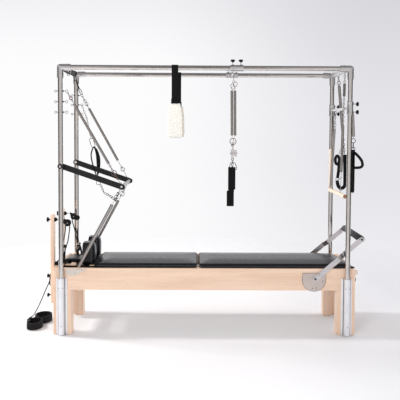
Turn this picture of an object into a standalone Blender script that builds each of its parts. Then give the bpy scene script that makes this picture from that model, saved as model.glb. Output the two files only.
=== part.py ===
"""Three-in-one pilates reformer: sliding bed, trapeze frame and mat conversion.

Metres, +Z up. X runs along the bed with the head end at -X, Y runs across it with the
near side at -Y, and Z = 0 is the floor. Every moving piece has its origin on its joint.
"""

import math

import bmesh
import bpy
import numpy as np
from mathutils import Matrix, Vector

# Driving dimensions of the trapeze frame
POST_X = 1.150              # post axes, half their spacing along the bed
POST_Y = 0.350              # post axes, half their spacing across the bed
TUBE_R = 0.020              # all frame tubes
TUBE_WALL = 0.0025
TOP_Z = 2.148               # axes of the top tubes
COLLAR_R = 0.0265           # corner fittings and sliding sleeves
COLLAR_REACH = 0.085        # from a corner's centre to a collar's mouth
COLLAR_SEAT = 0.030         # from a corner's centre to a tube's end
SOCKET_R = 0.0245
SOCKET_TOP = 0.462
SOCKET_BOTTOM = 0.006
FLANGE_WIDTH = 0.087
FLANGE_THICK = 0.005

# Driving dimensions of the bed
BED_HALF_LENGTH = 1.220
BED_HALF_WIDTH = 0.327
RAIL_TOP = 0.540
RAIL_BOTTOM = 0.365
RAIL_THICK = 0.032
END_BOARD_THICK = 0.025
LEG_WIDTH = 0.147
LEG_BOARD = 0.045
LEG_RETURN = 0.070          # width of the leg's inner return
LEG_DEPTH = 0.097
TRACK_TOP = 0.450
TRACK_THICK = 0.010
TRACK_REACH = 0.033
TRACK_LIP = 0.006

# Carriage
DECK_LOW = 0.5298
DECK_TOP = 0.5443
PAD_BOTTOM = 0.5446
PAD_TOP = 0.580
PAD_HALF_WIDTH = 0.302
CARRIAGE_LEFT = -0.887
CARRIAGE_RIGHT = -0.057
DECK_LEFT = -1.150
WHEEL_R = 0.030
AXLE_R = 0.006
HEAD_AXLE_X = -0.860
FOOT_AXLE_X = -0.160
AXLE_Z = TRACK_TOP + 0.0003 + WHEEL_R
REST_LEFT = -1.005
REST_RIGHT = -0.903
REST_TOP = 0.727
HEADREST_LEFT = -1.172
HEADREST_HINGE_X = -1.030
HEADREST_HALF_WIDTH = 0.105
HEADREST_LOW = 0.5480
HEADREST_TOP = 0.5745

# Mat conversion
MAT_LEFT = -0.045
MAT_RIGHT = 1.218

# Footbar
FOOTBAR_PIVOT = (0.894, 0.461)
FOOTBAR_LENGTH = 0.493
FOOTBAR_ANGLE = math.radians(40.3)
FOOTBAR_ARM_WIDTH = 0.040
FOOTBAR_ARM_THICK = 0.006
FOOTBAR_OUTER_Y = 0.3365
FOOTBAR_INNER_Y = 0.310
FOOTBAR_CRANK = (0.250, 0.295)
GRIP_R = 0.0275
PLATE_X = 0.885
PLATE_HALF = 0.094
PLATE_TOP = 0.507
PLATE_BOTTOM = 0.359

# Push-through bar
PUSH_PIVOT_Z = 1.364
PUSH_ANGLE = math.radians(-18.9)
PUSH_TUBE_AT = 0.508
PUSH_ARM_END = 0.514
PUSH_ARM_WIDTH = 0.046
PUSH_ARM_Y = (0.314, 0.322)
PUSH_TUBE_R = 0.0125

# Risers and pulleys
RISER_X = (-1.262, -1.232)
RISER_Y = (0.170, 0.230)
RISER_Z = (0.228, 0.958)
RISER_KNOB_Z = (0.917, 0.452, 0.292)
PULLEY_X = {"near": -1.125, "far": -1.148}
PULLEY_Y = 0.200
PULLEY_Z = 0.8900
PULLEY_R = 0.0180
GROOVE_R = 0.0124           # bottom of the sheave's groove
CHEEK_R = 0.028             # discs on both sides of the sheave

# Slider, padded loops and right crossbar
SLIDER_X = 0.247
SLEEVE_HALF = 0.052
LOOP_X = {"near": -0.2425, "far": -0.234}
CROSSBAR_Z = 1.8375
CROSSBAR_R = 0.0125
DOWEL_X = 1.130
DOWEL_Z = 1.127
DOWEL_R = 0.0175
EYE_Z = (1.960, 1.876, 1.793)
EYE_X = -1.099

# Ropes: stations of each strand before and after its pulley, and of the rope on the floor
ROPE_R = 0.0042
ROPE_STATIONS = {
    "near": ([(-1.2165, -0.2000, 0.5460), (-1.2080, -0.2000, 0.5640), (-1.1950, -0.2000, 0.6000),
              (-1.1825, -0.2000, 0.6450), (-1.1660, -0.2000, 0.7145), (-1.1560, -0.2000, 0.7600),
              (-1.1470, -0.2000, 0.8100), (-1.1430, -0.2000, 0.8500)],
             [(-1.1085, -0.2000, 0.8500), (-1.1130, -0.2000, 0.8100), (-1.1185, -0.2000, 0.7700),
              (-1.1260, -0.2000, 0.7300), (-1.1400, -0.2000, 0.6900), (-1.1490, -0.2000, 0.6500),
              (-1.1520, -0.1980, 0.6050), (-1.1440, -0.1950, 0.5520)]),
    "far": ([(-1.1150, 0.2000, 0.5520), (-1.1160, 0.2000, 0.6000), (-1.1175, 0.2000, 0.6500),
             (-1.1330, 0.2000, 0.7371), (-1.1480, 0.2000, 0.8000), (-1.1620, 0.2000, 0.8500)],
            [(-1.1350, 0.2000, 0.8500), (-1.1350, 0.2000, 0.8000), (-1.1215, 0.2000, 0.7371),
             (-1.1020, 0.2000, 0.6560), (-1.0890, 0.2000, 0.6050), (-1.0767, 0.2000, 0.5520)]),
}
FLOOR_ROPE_STATIONS = [
    (-1.2705, -0.2130, 0.372), (-1.2708, -0.2130, 0.415), (-1.2710, -0.2140, 0.4540), (-1.2710, -0.2000, 0.4670),
    (-1.2710, -0.1860, 0.4540), (-1.2740, -0.1870, 0.420), (-1.2900, -0.1900, 0.375), (-1.3071, -0.2000, 0.336),
    (-1.3400, -0.1850, 0.262), (-1.3780, -0.1600, 0.185), (-1.4120, -0.1400, 0.125), (-1.4420, -0.1340, 0.086),
    (-1.4600, -0.1330, 0.0690), (-1.4730, -0.1330, 0.0640),
]
FLOOR_BAND_TOP = 0.059

GAP = 0.0003                # running gap between neighbouring solids
ROUND = 12                  # facets round a tube
SIDES = (("near", -1), ("far", 1))
ENDS = (("left", -1), ("right", 1))


def clear_scene():
    for old in list(bpy.data.objects):
        bpy.data.objects.remove(old, do_unlink=True)


def make_material(name, colour, roughness, metallic=0.0):
    material = bpy.data.materials.new(name)
    material.use_nodes = True
    shader = material.node_tree.nodes["Principled BSDF"]
    shader.inputs["Base Color"].default_value = (*colour, 1.0)
    shader.inputs["Roughness"].default_value = roughness
    shader.inputs["Metallic"].default_value = metallic
    return material


def place(name, bm, material, origin=(0, 0, 0), smooth=True):
    """Turns a bmesh in world metres into a named object whose origin is at a given point."""
    bmesh.ops.recalc_face_normals(bm, faces=bm.faces)
    bmesh.ops.translate(bm, verts=bm.verts, vec=-Vector(origin))
    mesh = bpy.data.meshes.new(name)
    bm.to_mesh(mesh)
    bm.free()
    mesh.materials.append(material)
    if smooth:
        mesh.shade_smooth()
        mesh.set_sharp_from_angle(angle=math.radians(35))
    piece = bpy.data.objects.new(name, mesh)
    piece.location = origin
    bpy.context.scene.collection.objects.link(piece)
    return piece


def combine(piece, tools, operation):
    """Joins or cuts a piece with bmesh tools, kept as hidden wire guides."""
    for number, bm in enumerate(tools):
        guide = place(f"{piece.name}.{operation.lower()}{number}", bm, piece.data.materials[0])
        guide.hide_render = True
        guide.display_type = "WIRE"
        step = piece.modifiers.new(guide.name, "BOOLEAN")
        step.operation = operation
        step.solver = "EXACT"
        step.object = guide
    return piece


def box(low, high, bevel=0.0, segments=1):
    bm = bmesh.new()
    bmesh.ops.create_cube(bm, size=1.0)
    low = Vector(low)
    high = Vector(high)
    bmesh.ops.scale(bm, verts=bm.verts, vec=high - low)
    bmesh.ops.translate(bm, verts=bm.verts, vec=(low + high) / 2)
    if bevel:
        bmesh.ops.bevel(bm, geom=list(bm.edges), offset=bevel, segments=segments, affect="EDGES", profile=0.5)
    return bm


def prism(outline, axis, start, end, bevel=0.0):
    """Extrudes a flat outline along an axis; the outline is in the other two axes, in X, Y, Z order."""
    bm = bmesh.new()
    k = "XYZ".index(axis)

    def point(pair, along):
        place_of = list(pair)
        place_of.insert(k, along)
        return place_of

    first = [bm.verts.new(point(pair, start)) for pair in outline]
    last = [bm.verts.new(point(pair, end)) for pair in outline]
    bm.faces.new(first)
    bm.faces.new(last)
    count = len(outline)
    for i in range(count):
        j = (i + 1) % count
        bm.faces.new((first[i], first[j], last[j], last[i]))
    bmesh.ops.recalc_face_normals(bm, faces=bm.faces)
    if bevel:
        sharp = [e for e in bm.edges if e.calc_face_angle(0) > math.radians(50)]
        bmesh.ops.bevel(bm, geom=sharp, offset=bevel, segments=1, affect="EDGES", profile=0.5)
    return bm


def turned(profile, origin, direction, steps=ROUND, closed=False):
    """Revolves (radius, distance) pairs about a line; a closed profile makes a ring or a pipe."""
    bm = bmesh.new()
    axis = Vector(direction).normalized()
    side = axis.orthogonal().normalized()
    other = axis.cross(side)
    origin = Vector(origin)
    rings = []
    for radius, along in profile:
        centre = origin + axis * along
        if radius < 1e-6:
            rings.append([bm.verts.new(centre)])
            continue
        ring = []
        for i in range(steps):
            angle = 2 * math.pi * i / steps
            ring.append(bm.verts.new(centre + radius * (math.cos(angle) * side + math.sin(angle) * other)))
        rings.append(ring)
    pairs = list(zip(rings, rings[1:]))
    if closed:
        pairs.append((rings[-1], rings[0]))
    else:
        for ring in (rings[0], rings[-1]):
            if len(ring) > 1:
                bm.faces.new(ring)
    for one, two in pairs:
        for i in range(steps):
            j = (i + 1) % steps
            if len(one) == 1:
                bm.faces.new((one[0], two[i], two[j]))
            elif len(two) == 1:
                bm.faces.new((one[i], one[j], two[0]))
            else:
                bm.faces.new((one[i], one[j], two[j], two[i]))
    bmesh.ops.recalc_face_normals(bm, faces=bm.faces)
    return bm


def rod(start, end, radius, steps=ROUND):
    start = Vector(start)
    run = Vector(end) - start
    return turned([(radius, 0), (radius, run.length)], start, run, steps)


def pipe(start, end, outer, inner, steps=ROUND):
    start = Vector(start)
    run = Vector(end) - start
    length = run.length
    profile = [(outer, 0), (outer, length), (inner, length), (inner, 0)]
    return turned(profile, start, run, steps, closed=True)


def eye_ring(centre, direction, radius, wire, steps=10, sides=4):
    profile = []
    for i in range(sides):
        angle = 2 * math.pi * i / sides
        profile.append((radius + wire * math.cos(angle), wire * math.sin(angle)))
    return turned(profile, centre, direction, steps, closed=True)


def rounded_rectangle(half_a, half_b, radius, corner_steps=4):
    points = []
    for sign_a, sign_b, first in ((1, 1, 0), (-1, 1, 90), (-1, -1, 180), (1, -1, 270)):
        for i in range(corner_steps + 1):
            angle = math.radians(first + 90 * i / corner_steps)
            a = sign_a * (half_a - radius) + radius * math.cos(angle)
            b = sign_b * (half_b - radius) + radius * math.sin(angle)
            points.append((a, b))
    return points


def stadium(length, radius, steps=6):
    """Outline of a flat bar with round ends, from (0, 0) to (length, 0)."""
    points = []
    for i in range(steps + 1):
        angle = math.pi / 2 + math.pi * i / steps
        points.append((radius * math.cos(angle), radius * math.sin(angle)))
    for i in range(steps + 1):
        angle = -math.pi / 2 + math.pi * i / steps
        points.append((length + radius * math.cos(angle), radius * math.sin(angle)))
    return points


def stacked(outlines):
    """Closes a stack of rings with the same number of points into one body."""
    bm = bmesh.new()
    rings = [[bm.verts.new(p) for p in ring] for ring in outlines]
    bm.faces.new(rings[0])
    bm.faces.new(rings[-1])
    for one, two in zip(rings, rings[1:]):
        count = len(one)
        for i in range(count):
            j = (i + 1) % count
            bm.faces.new((one[i], one[j], two[j], two[i]))
    bmesh.ops.recalc_face_normals(bm, faces=bm.faces)
    return bm


# A cushion's section from its rim inwards: how far in, and how much of its height
CROWN = ((0.005, 0.0), (0.0, 0.12), (0.002, 0.18), (0.009, 0.24), (0.035, 0.38), (0.085, 0.63), (0.150, 0.90), (0.205, 1.0))


def cushion(low, high, corner=0.035, spread=1.0):
    """A crowned cushion whose sides draw in under the rim."""
    centre_x = (low[0] + high[0]) / 2
    centre_y = (low[1] + high[1]) / 2
    half_x = (high[0] - low[0]) / 2
    half_y = (high[1] - low[1]) / 2
    rings = []
    for inset, height in CROWN:
        inset = inset * spread
        outline = rounded_rectangle(half_x - inset, half_y - inset, corner)
        z = low[2] + (high[2] - low[2]) * height
        rings.append([(centre_x + a, centre_y + b, z) for a, b in outline])
    return stacked(rings)


def offset_pairs(points, thickness, closed):
    """The two edges of a strap of even thickness whose middle follows flat points."""
    points = [Vector(p) for p in points]
    count = len(points)
    pairs = []
    for i, point in enumerate(points):
        before = points[i - 1] if closed or i > 0 else point
        after = points[(i + 1) % count] if closed or i < count - 1 else point
        along = (after - before).normalized()
        across = Vector((-along.y, along.x)) * thickness / 2
        pairs.append((point + across, point - across))
    return pairs


def strap(path, thickness, axis, low, high):
    """An open strap that follows flat points, its width running along an axis."""
    pairs = offset_pairs(path, thickness, False)
    outline = [tuple(one) for one, two in pairs] + [tuple(two) for one, two in reversed(pairs)]
    return prism(outline, axis, low, high)


def loop_strap(path, thickness, axis, low, high):
    """A strap sewn into a closed loop, its width running along an axis."""
    bm = bmesh.new()
    k = "XYZ".index(axis)
    rings = []
    for one, two in offset_pairs(path, thickness, True):
        corners = []
        for along, edge in ((low, one), (high, one), (high, two), (low, two)):
            position = [edge.x, edge.y]
            position.insert(k, along)
            corners.append(bm.verts.new(position))
        rings.append(corners)
    count = len(rings)
    for i in range(count):
        one = rings[i]
        two = rings[(i + 1) % count]
        for m in range(4):
            n = (m + 1) % 4
            bm.faces.new((one[m], one[n], two[n], two[m]))
    bmesh.ops.recalc_face_normals(bm, faces=bm.faces)
    return bm


def arc(centre, radius, first, last, steps):
    """Flat points along an arc, its angles in degrees."""
    points = []
    for i in range(steps + 1):
        angle = math.radians(first + (last - first) * i / steps)
        points.append((centre[0] + radius * math.cos(angle), centre[1] + radius * math.sin(angle)))
    return points


def slot_path(middle, half_gap, low, high):
    """A long closed loop standing on end, between the centres of its two round ends."""
    return arc((middle, high), half_gap, 0, 180, 4) + arc((middle, low), half_gap, 180, 360, 4)


def tube_curve(name, points, radius, material, resolution=1):
    curve = bpy.data.curves.new(name, "CURVE")
    curve.dimensions = "3D"
    curve.bevel_depth = radius
    curve.bevel_resolution = resolution
    curve.use_fill_caps = True
    spline = curve.splines.new("POLY")
    spline.points.add(len(points) - 1)
    for slot, point in zip(spline.points, points):
        slot.co = (*point, 1.0)
    curve.materials.append(material)
    piece = bpy.data.objects.new(name, curve)
    bpy.context.scene.collection.objects.link(piece)
    return piece


def smooth_route(stations, spacing):
    """Reads evenly spaced points from a Catmull-Rom curve through a route's stations."""
    stations = [Vector(s) for s in stations]
    padded = [stations[0] * 2 - stations[1]] + stations + [stations[-1] * 2 - stations[-2]]
    fine = []
    for i in range(1, len(padded) - 2):
        a, b, c, d = padded[i - 1:i + 3]
        for k in range(24):
            t = k / 24
            point = 0.5 * (2 * b + (c - a) * t + (2 * a - 5 * b + 4 * c - d) * t * t
                           + (3 * b - a - 3 * c + d) * t ** 3)
            fine.append(point)
    fine.append(stations[-1])
    lengths = [0.0]
    for one, two in zip(fine, fine[1:]):
        lengths.append(lengths[-1] + (two - one).length)
    steps = max(2, round(lengths[-1] / spacing))
    even = []
    for k in range(steps + 1):
        target = lengths[-1] * k / steps
        place_of = np.searchsorted(lengths, target)
        place_of = min(max(place_of, 1), len(fine) - 1)
        share = (target - lengths[place_of - 1]) / max(lengths[place_of] - lengths[place_of - 1], 1e-9)
        even.append(fine[place_of - 1].lerp(fine[place_of], share))
    return even


def spring_wire(name, pieces, coil_radius, wire, material):
    """One unbroken wire through points and coils; a coil is given as start, end and curls."""
    per_curl = 8
    points = []
    for piece in pieces:
        if len(piece) == 3 and isinstance(piece[2], int):
            start = Vector(piece[0])
            run = Vector(piece[1]) - start
            axis = run.normalized()
            side = axis.cross(Vector((0, 1, 0))).normalized()
            other = axis.cross(side)
            count = piece[2] * per_curl
            for i in range(count + 1):
                grown = min(1.0, i / 3, (count - i) / 3)
                angle = 2 * math.pi * i / per_curl
                swing = math.cos(angle) * side + math.sin(angle) * other
                points.append(start + run * i / count + coil_radius * grown * swing)
        else:
            points.append(Vector(piece))
    travelled = [0.0]
    for one, two in zip(points, points[1:]):
        travelled.append(travelled[-1] + (two - one).length)
    least = 1.0
    for i in range(len(points)):
        for j in range(i + 1, len(points)):
            if travelled[j] - travelled[i] > 4 * coil_radius:
                least = min(least, (points[i] - points[j]).length)
    print(f"{name}: least gap of the wire to itself {1000 * (least - 2 * wire):.1f} mm")
    return tube_curve(name, points, wire, material)


def along(start, end, share):
    return Vector(start).lerp(Vector(end), share)


def build_bed(wood, steel):
    """Rails, end boards, legs and footbar plates."""
    rail_end = BED_HALF_LENGTH - END_BOARD_THICK - GAP
    inner = BED_HALF_WIDTH - RAIL_THICK
    bracket_low = 0.478
    for side, sign in SIDES:
        section = [
            (BED_HALF_WIDTH, RAIL_BOTTOM), (BED_HALF_WIDTH, RAIL_TOP - 0.003),
            (BED_HALF_WIDTH - 0.003, RAIL_TOP), (inner + 0.002, RAIL_TOP), (inner, RAIL_TOP - 0.002),
            (inner, TRACK_TOP), (inner - TRACK_REACH + 0.004, TRACK_TOP),
            (inner - TRACK_REACH + 0.004, TRACK_TOP + TRACK_LIP), (inner - TRACK_REACH, TRACK_TOP + TRACK_LIP),
            (inner - TRACK_REACH, TRACK_TOP - TRACK_THICK), (inner, TRACK_TOP - TRACK_THICK), (inner, RAIL_BOTTOM),
        ]
        rail = place(f"rail_{side}", prism([(sign * y, z) for y, z in section], "X", -rail_end, rail_end), wood)
        shield = [(-1.119, 0.5385), (-0.946, 0.5385), (-0.946, 0.532), (-0.990, 0.508), (-1.030, 0.484),
                  (-1.060, bracket_low), (-1.095, bracket_low), (-1.119, 0.500)]
        low, high = sorted((sign * (BED_HALF_WIDTH - 0.004), sign * (BED_HALF_WIDTH + 0.004)))
        plate = prism(shield, "Y", low, high)
        strut_low, strut_high = sorted((sign * (BED_HALF_WIDTH - 0.004), sign * (BED_HALF_WIDTH + 0.009)))
        strut = prism([(-1.062, 0.498), (-1.040, 0.493), (-0.962, 0.524), (-0.966, 0.5385), (-1.050, 0.5300)],
                      "Y", strut_low, strut_high)
        combine(rail, [plate, strut], "UNION")

        plate_y = sorted((sign * (BED_HALF_WIDTH + GAP), sign * (BED_HALF_WIDTH + 0.0055)))
        outline = [(PLATE_X + PLATE_HALF, PLATE_TOP), (PLATE_X - PLATE_HALF, PLATE_TOP)]
        straight = PLATE_TOP - PLATE_BOTTOM - PLATE_HALF
        for i in range(17):
            angle = math.pi + math.pi * i / 16
            outline.append((PLATE_X + PLATE_HALF * math.cos(angle),
                            PLATE_TOP - straight + PLATE_HALF * math.sin(angle)))
        footplate = place(f"footbar_plate_{side}", prism(outline, "Y", *plate_y), steel)
        holes = []
        for x, z, radius in ((FOOTBAR_PIVOT[0], FOOTBAR_PIVOT[1], 0.0063), (0.8725, 0.384, 0.0045),
                             (0.904, 0.3865, 0.0045), (0.956, 0.442, 0.0045)):
            holes.append(rod((x, sign * 0.31, z), (x, sign * 0.35, z), radius, 12))
        combine(footplate, holes, "DIFFERENCE")

    half = BED_HALF_WIDTH
    for end, sign_x in ENDS:
        low, high = sorted((sign_x * (BED_HALF_LENGTH - END_BOARD_THICK), sign_x * BED_HALF_LENGTH))
        board = place(f"end_board_{end}", box((low, -half, RAIL_BOTTOM), (high, half, RAIL_TOP), 0.002), wood)
        if end == "right":
            bumper = turned([(0.020, -0.004), (0.020, 0.024), (0.016, 0.030)],
                            (BED_HALF_LENGTH, -0.270, 0.505), (1, 0, 0), 12)
            knob = turned([(0.007, -0.004), (0.007, 0.005), (0.016, 0.006), (0.016, 0.015)],
                          (BED_HALF_LENGTH, -0.270, 0.445), (1, 0, 0), 8)
            combine(board, [bumper, knob], "UNION")

    for side, sign_y in SIDES:
        for end, sign_x in ENDS:
            outer_x = BED_HALF_LENGTH
            inner_x = BED_HALF_LENGTH - LEG_WIDTH
            outer_y = BED_HALF_WIDTH
            outline = [(outer_x, outer_y), (inner_x, outer_y), (inner_x, outer_y - LEG_DEPTH),
                       (inner_x + LEG_RETURN, outer_y - LEG_DEPTH), (inner_x + LEG_RETURN, outer_y - LEG_BOARD),
                       (outer_x, outer_y - LEG_BOARD)]
            outline = [(sign_x * x, sign_y * y) for x, y in outline]
            place(f"leg_{side}_{end}", prism(outline, "Z", 0.0, RAIL_BOTTOM - GAP, 0.003), wood)


def build_posts(steel, alloy):
    """Four posts in bolted sockets, two end frames and two top tubes."""
    bore = TUBE_R + GAP
    for side, sign_y in SIDES:
        for end, sign_x in ENDS:
            x = sign_x * POST_X
            y = sign_y * POST_Y
            flange = BED_HALF_WIDTH + GAP
            outline = [(FLANGE_WIDTH / 2, flange), (FLANGE_WIDTH / 2, flange + FLANGE_THICK)]
            for i in range(11):
                angle = math.radians(-22 + 224 * i / 10)
                outline.append((SOCKET_R * math.cos(angle), POST_Y + SOCKET_R * math.sin(angle)))
            outline += [(-FLANGE_WIDTH / 2, flange + FLANGE_THICK), (-FLANGE_WIDTH / 2, flange)]
            outline = [(x + a, sign_y * b) for a, b in outline]
            socket = place(f"post_socket_{side}_{end}", prism(outline, "Z", SOCKET_BOTTOM, SOCKET_TOP), alloy)
            combine(socket, [rod((x, y, SOCKET_BOTTOM + 0.006), (x, y, SOCKET_TOP + 0.02), bore)], "DIFFERENCE")

            low = SOCKET_BOTTOM + 0.006 + GAP
            high = TOP_Z - COLLAR_SEAT - GAP
            post = place(f"post_{side}_{end}", pipe((x, y, low), (x, y, high), TUBE_R, TUBE_R - TUBE_WALL), steel)
            if end == "left":
                extras = []
                for z in EYE_Z:
                    extras.append(rod((x - 0.031, y, z), (EYE_X - 0.010, y, z), 0.003, 6))
                    extras.append(eye_ring((EYE_X, y, z), (0, 1, 0), 0.0105, 0.0022, 8, 4))
                pivot = [(0.013, 0.3060), (0.013, PUSH_ARM_Y[0] - GAP), (0.008, PUSH_ARM_Y[0] - GAP),
                         (0.008, POST_Y + TUBE_R - 0.002), (0.022, POST_Y + TUBE_R - 0.0015), (0.020, 0.383)]
                extras.append(turned(pivot, (x, 0, PUSH_PIVOT_Z), (0, sign_y, 0), 10))
                combine(post, extras, "UNION")

    for end, sign_x in ENDS:
        x = sign_x * POST_X
        half = POST_Y
        profile = [(0.0, -half - COLLAR_R), (0.016, -half - COLLAR_R * 0.80), (0.0235, -half - COLLAR_R * 0.45),
                   (COLLAR_R, -half), (COLLAR_R, -half + COLLAR_REACH), (TUBE_R, -half + COLLAR_REACH)]
        profile += [(radius, -along) for radius, along in reversed(profile)]
        frame = place(f"top_end_{end}", turned(profile, (x, 0, TOP_Z), (0, 1, 0)), alloy)
        collars = []
        if end == "left":
            for low_y, high_y, radius in ((-0.235, -0.120, 0.0235), (0.030, 0.215, 0.0235), (-0.060, -0.030, 0.0245)):
                collars.append(rod((x, low_y, TOP_Z), (x, high_y, TOP_Z), radius))
        cuts = []
        for side, sign_y in SIDES:
            y = sign_y * POST_Y
            collars.append(rod((x, y, TOP_Z), (x - sign_x * COLLAR_REACH, y, TOP_Z), COLLAR_R - 0.0002))
            collars.append(rod((x, y, TOP_Z), (x, y, TOP_Z - COLLAR_REACH), COLLAR_R - 0.0004))
            cuts.append(rod((x - sign_x * COLLAR_SEAT, y, TOP_Z), (x - sign_x * 0.12, y, TOP_Z), bore))
            cuts.append(rod((x, y, TOP_Z - COLLAR_SEAT), (x, y, TOP_Z - 0.12), bore))
        combine(frame, collars, "UNION")
        combine(frame, cuts, "DIFFERENCE")

    reach = POST_X - COLLAR_SEAT - GAP
    for side, sign_y in SIDES:
        y = sign_y * POST_Y
        place(f"top_tube_{side}", pipe((-reach, y, TOP_Z), (reach, y, TOP_Z), TUBE_R, TUBE_R - TUBE_WALL), steel)


def build_carriage(black, vinyl, rubber):
    """Deck on two wheelsets, with its pad, shoulder rests and tilting headrest."""
    wide = 0.285
    narrow = 0.255
    outline = [(DECK_LEFT, narrow), (-0.885, narrow), (-0.885, wide), (CARRIAGE_RIGHT - 0.008, wide)]
    outline = outline + [(x, -y) for x, y in reversed(outline)]
    deck = place("carriage_frame", prism(outline, "Z", DECK_LOW, DECK_TOP), black)
    members = []
    for sign in (-1, 1):
        low, high = sorted((sign * 0.222, sign * 0.246))
        members.append(box((-1.000, low, 0.462), (-0.085, high, DECK_LOW + 0.004)))
    for x in (-0.985, -0.520, -0.110):
        members.append(box((x - 0.014, -0.230, 0.480), (x + 0.014, 0.230, DECK_LOW + 0.003)))
    members.append(box((DECK_LEFT + 0.010, -0.090, DECK_TOP - 0.003), (HEADREST_HINGE_X, 0.090, HEADREST_LOW - GAP)))
    combine(deck, members, "UNION")
    holes = [rod((x, -0.26, AXLE_Z), (x, 0.26, AXLE_Z), AXLE_R + GAP, 12) for x in (HEAD_AXLE_X, FOOT_AXLE_X)]
    combine(deck, holes, "DIFFERENCE")

    for name, x in (("head", HEAD_AXLE_X), ("foot", FOOT_AXLE_X)):
        half = [(AXLE_R, 0.270), (WHEEL_R - 0.003, 0.272), (WHEEL_R, 0.275), (WHEEL_R, 0.283),
                (WHEEL_R - 0.003, 0.286), (0.008, 0.289)]
        profile = [(radius, -along) for radius, along in reversed(half)] + half
        place(f"wheelset_{name}", turned(profile, (x, 0, AXLE_Z), (0, 1, 0)), rubber, origin=(x, 0, AXLE_Z))

    place("carriage_pad", cushion((CARRIAGE_LEFT, -PAD_HALF_WIDTH, PAD_BOTTOM),
                                  (CARRIAGE_RIGHT, PAD_HALF_WIDTH, PAD_TOP)), vinyl)

    for side, sign in SIDES:
        centre = Vector((REST_LEFT, sign * 0.150, (PAD_BOTTOM + REST_TOP) / 2))
        half_y = 0.070
        half_z = (REST_TOP - PAD_BOTTOM) / 2
        thick = REST_RIGHT - REST_LEFT
        rings = []
        for inset, share in ((0.012, 0.0), (0.003, 0.05), (0.0, 0.16), (0.0, 0.60), (0.005, 0.78),
                             (0.016, 0.91), (0.034, 1.0)):
            outline = rounded_rectangle(half_y - inset, half_z - inset, 0.030)
            rings.append([(centre.x + thick * share, centre.y + a, centre.z + b) for a, b in outline])
        place(f"shoulder_rest_{side}", stacked(rings), vinyl)

    head = cushion((HEADREST_LEFT, -HEADREST_HALF_WIDTH, HEADREST_LOW),
                   (HEADREST_HINGE_X - 0.002, HEADREST_HALF_WIDTH, HEADREST_TOP), 0.022, 0.24)
    place("headrest", head, vinyl, origin=(HEADREST_HINGE_X, 0, HEADREST_LOW))

    place("mat_pad", cushion((MAT_LEFT, -PAD_HALF_WIDTH, RAIL_TOP + GAP), (MAT_RIGHT, PAD_HALF_WIDTH, PAD_TOP)),
          vinyl)


def build_push_bar(black, steel):
    pivot = (-POST_X, 0, PUSH_PIVOT_Z)
    turn = Matrix.Rotation(-PUSH_ANGLE, 4, "Y")
    shift = Matrix.Translation(pivot)

    def arm(sign):
        low, high = sorted((sign * PUSH_ARM_Y[0], sign * PUSH_ARM_Y[1]))
        bm = prism(stadium(PUSH_ARM_END, PUSH_ARM_WIDTH / 2), "Y", low, high)
        bm.transform(shift @ turn)
        return bm

    bar = place("push_bar_frame", arm(-1), black, origin=pivot)
    tube_x = pivot[0] + PUSH_TUBE_AT * math.cos(PUSH_ANGLE)
    tube_z = pivot[2] + PUSH_TUBE_AT * math.sin(PUSH_ANGLE)
    reach = PUSH_ARM_Y[0] + 0.004
    parts = [arm(1), rod((tube_x, -reach, tube_z), (tube_x, reach, tube_z), PUSH_TUBE_R, 16)]
    combine(bar, parts, "UNION")
    holes = [rod((pivot[0], sign * 0.30, pivot[2]), (pivot[0], sign * 0.33, pivot[2]), 0.0083, 14)
             for sign in (-1, 1)]
    combine(bar, holes, "DIFFERENCE")

    eye_clear = 0.0160
    for side, sign in SIDES:
        top = Vector((EYE_X, sign * POST_Y, EYE_Z[0]))
        end = Vector((tube_x, sign * 0.292, tube_z))
        run = (end - top).normalized()
        top = top + run * eye_clear
        end = end - run * (PUSH_TUBE_R + 0.0035)
        spring_wire(f"upper_spring_{side}", [top, (along(top, end, 0.11), along(top, end, 0.80), 5), end],
                    0.0115, 0.0022, steel)
        anchor = Vector((-1.045, sign * 0.284, 0.497))
        top = Vector((tube_x, sign * 0.276, tube_z))
        run = (anchor - top).normalized()
        top = top + run * (PUSH_TUBE_R + 0.0035)
        spring_wire(f"lower_spring_{side}",
                    [top, (along(top, anchor, 0.17), along(top, anchor, 0.90), 4), anchor,
                     (-1.0455, sign * 0.2943, 0.4962)], 0.0112, 0.0021, steel)
    stations = [(EYE_X + 0.008, POST_Y - 0.001, EYE_Z[1] - 0.018), (-1.058, 0.343, 1.770), (-0.988, 0.331, 1.575),
                (-0.968, 0.322, 1.450), (-0.957, 0.318, 1.350), (-0.9545, 0.318, 1.3272)]
    tube_curve("safety_strap", smooth_route(stations, 0.036), 0.004, steel)


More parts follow.
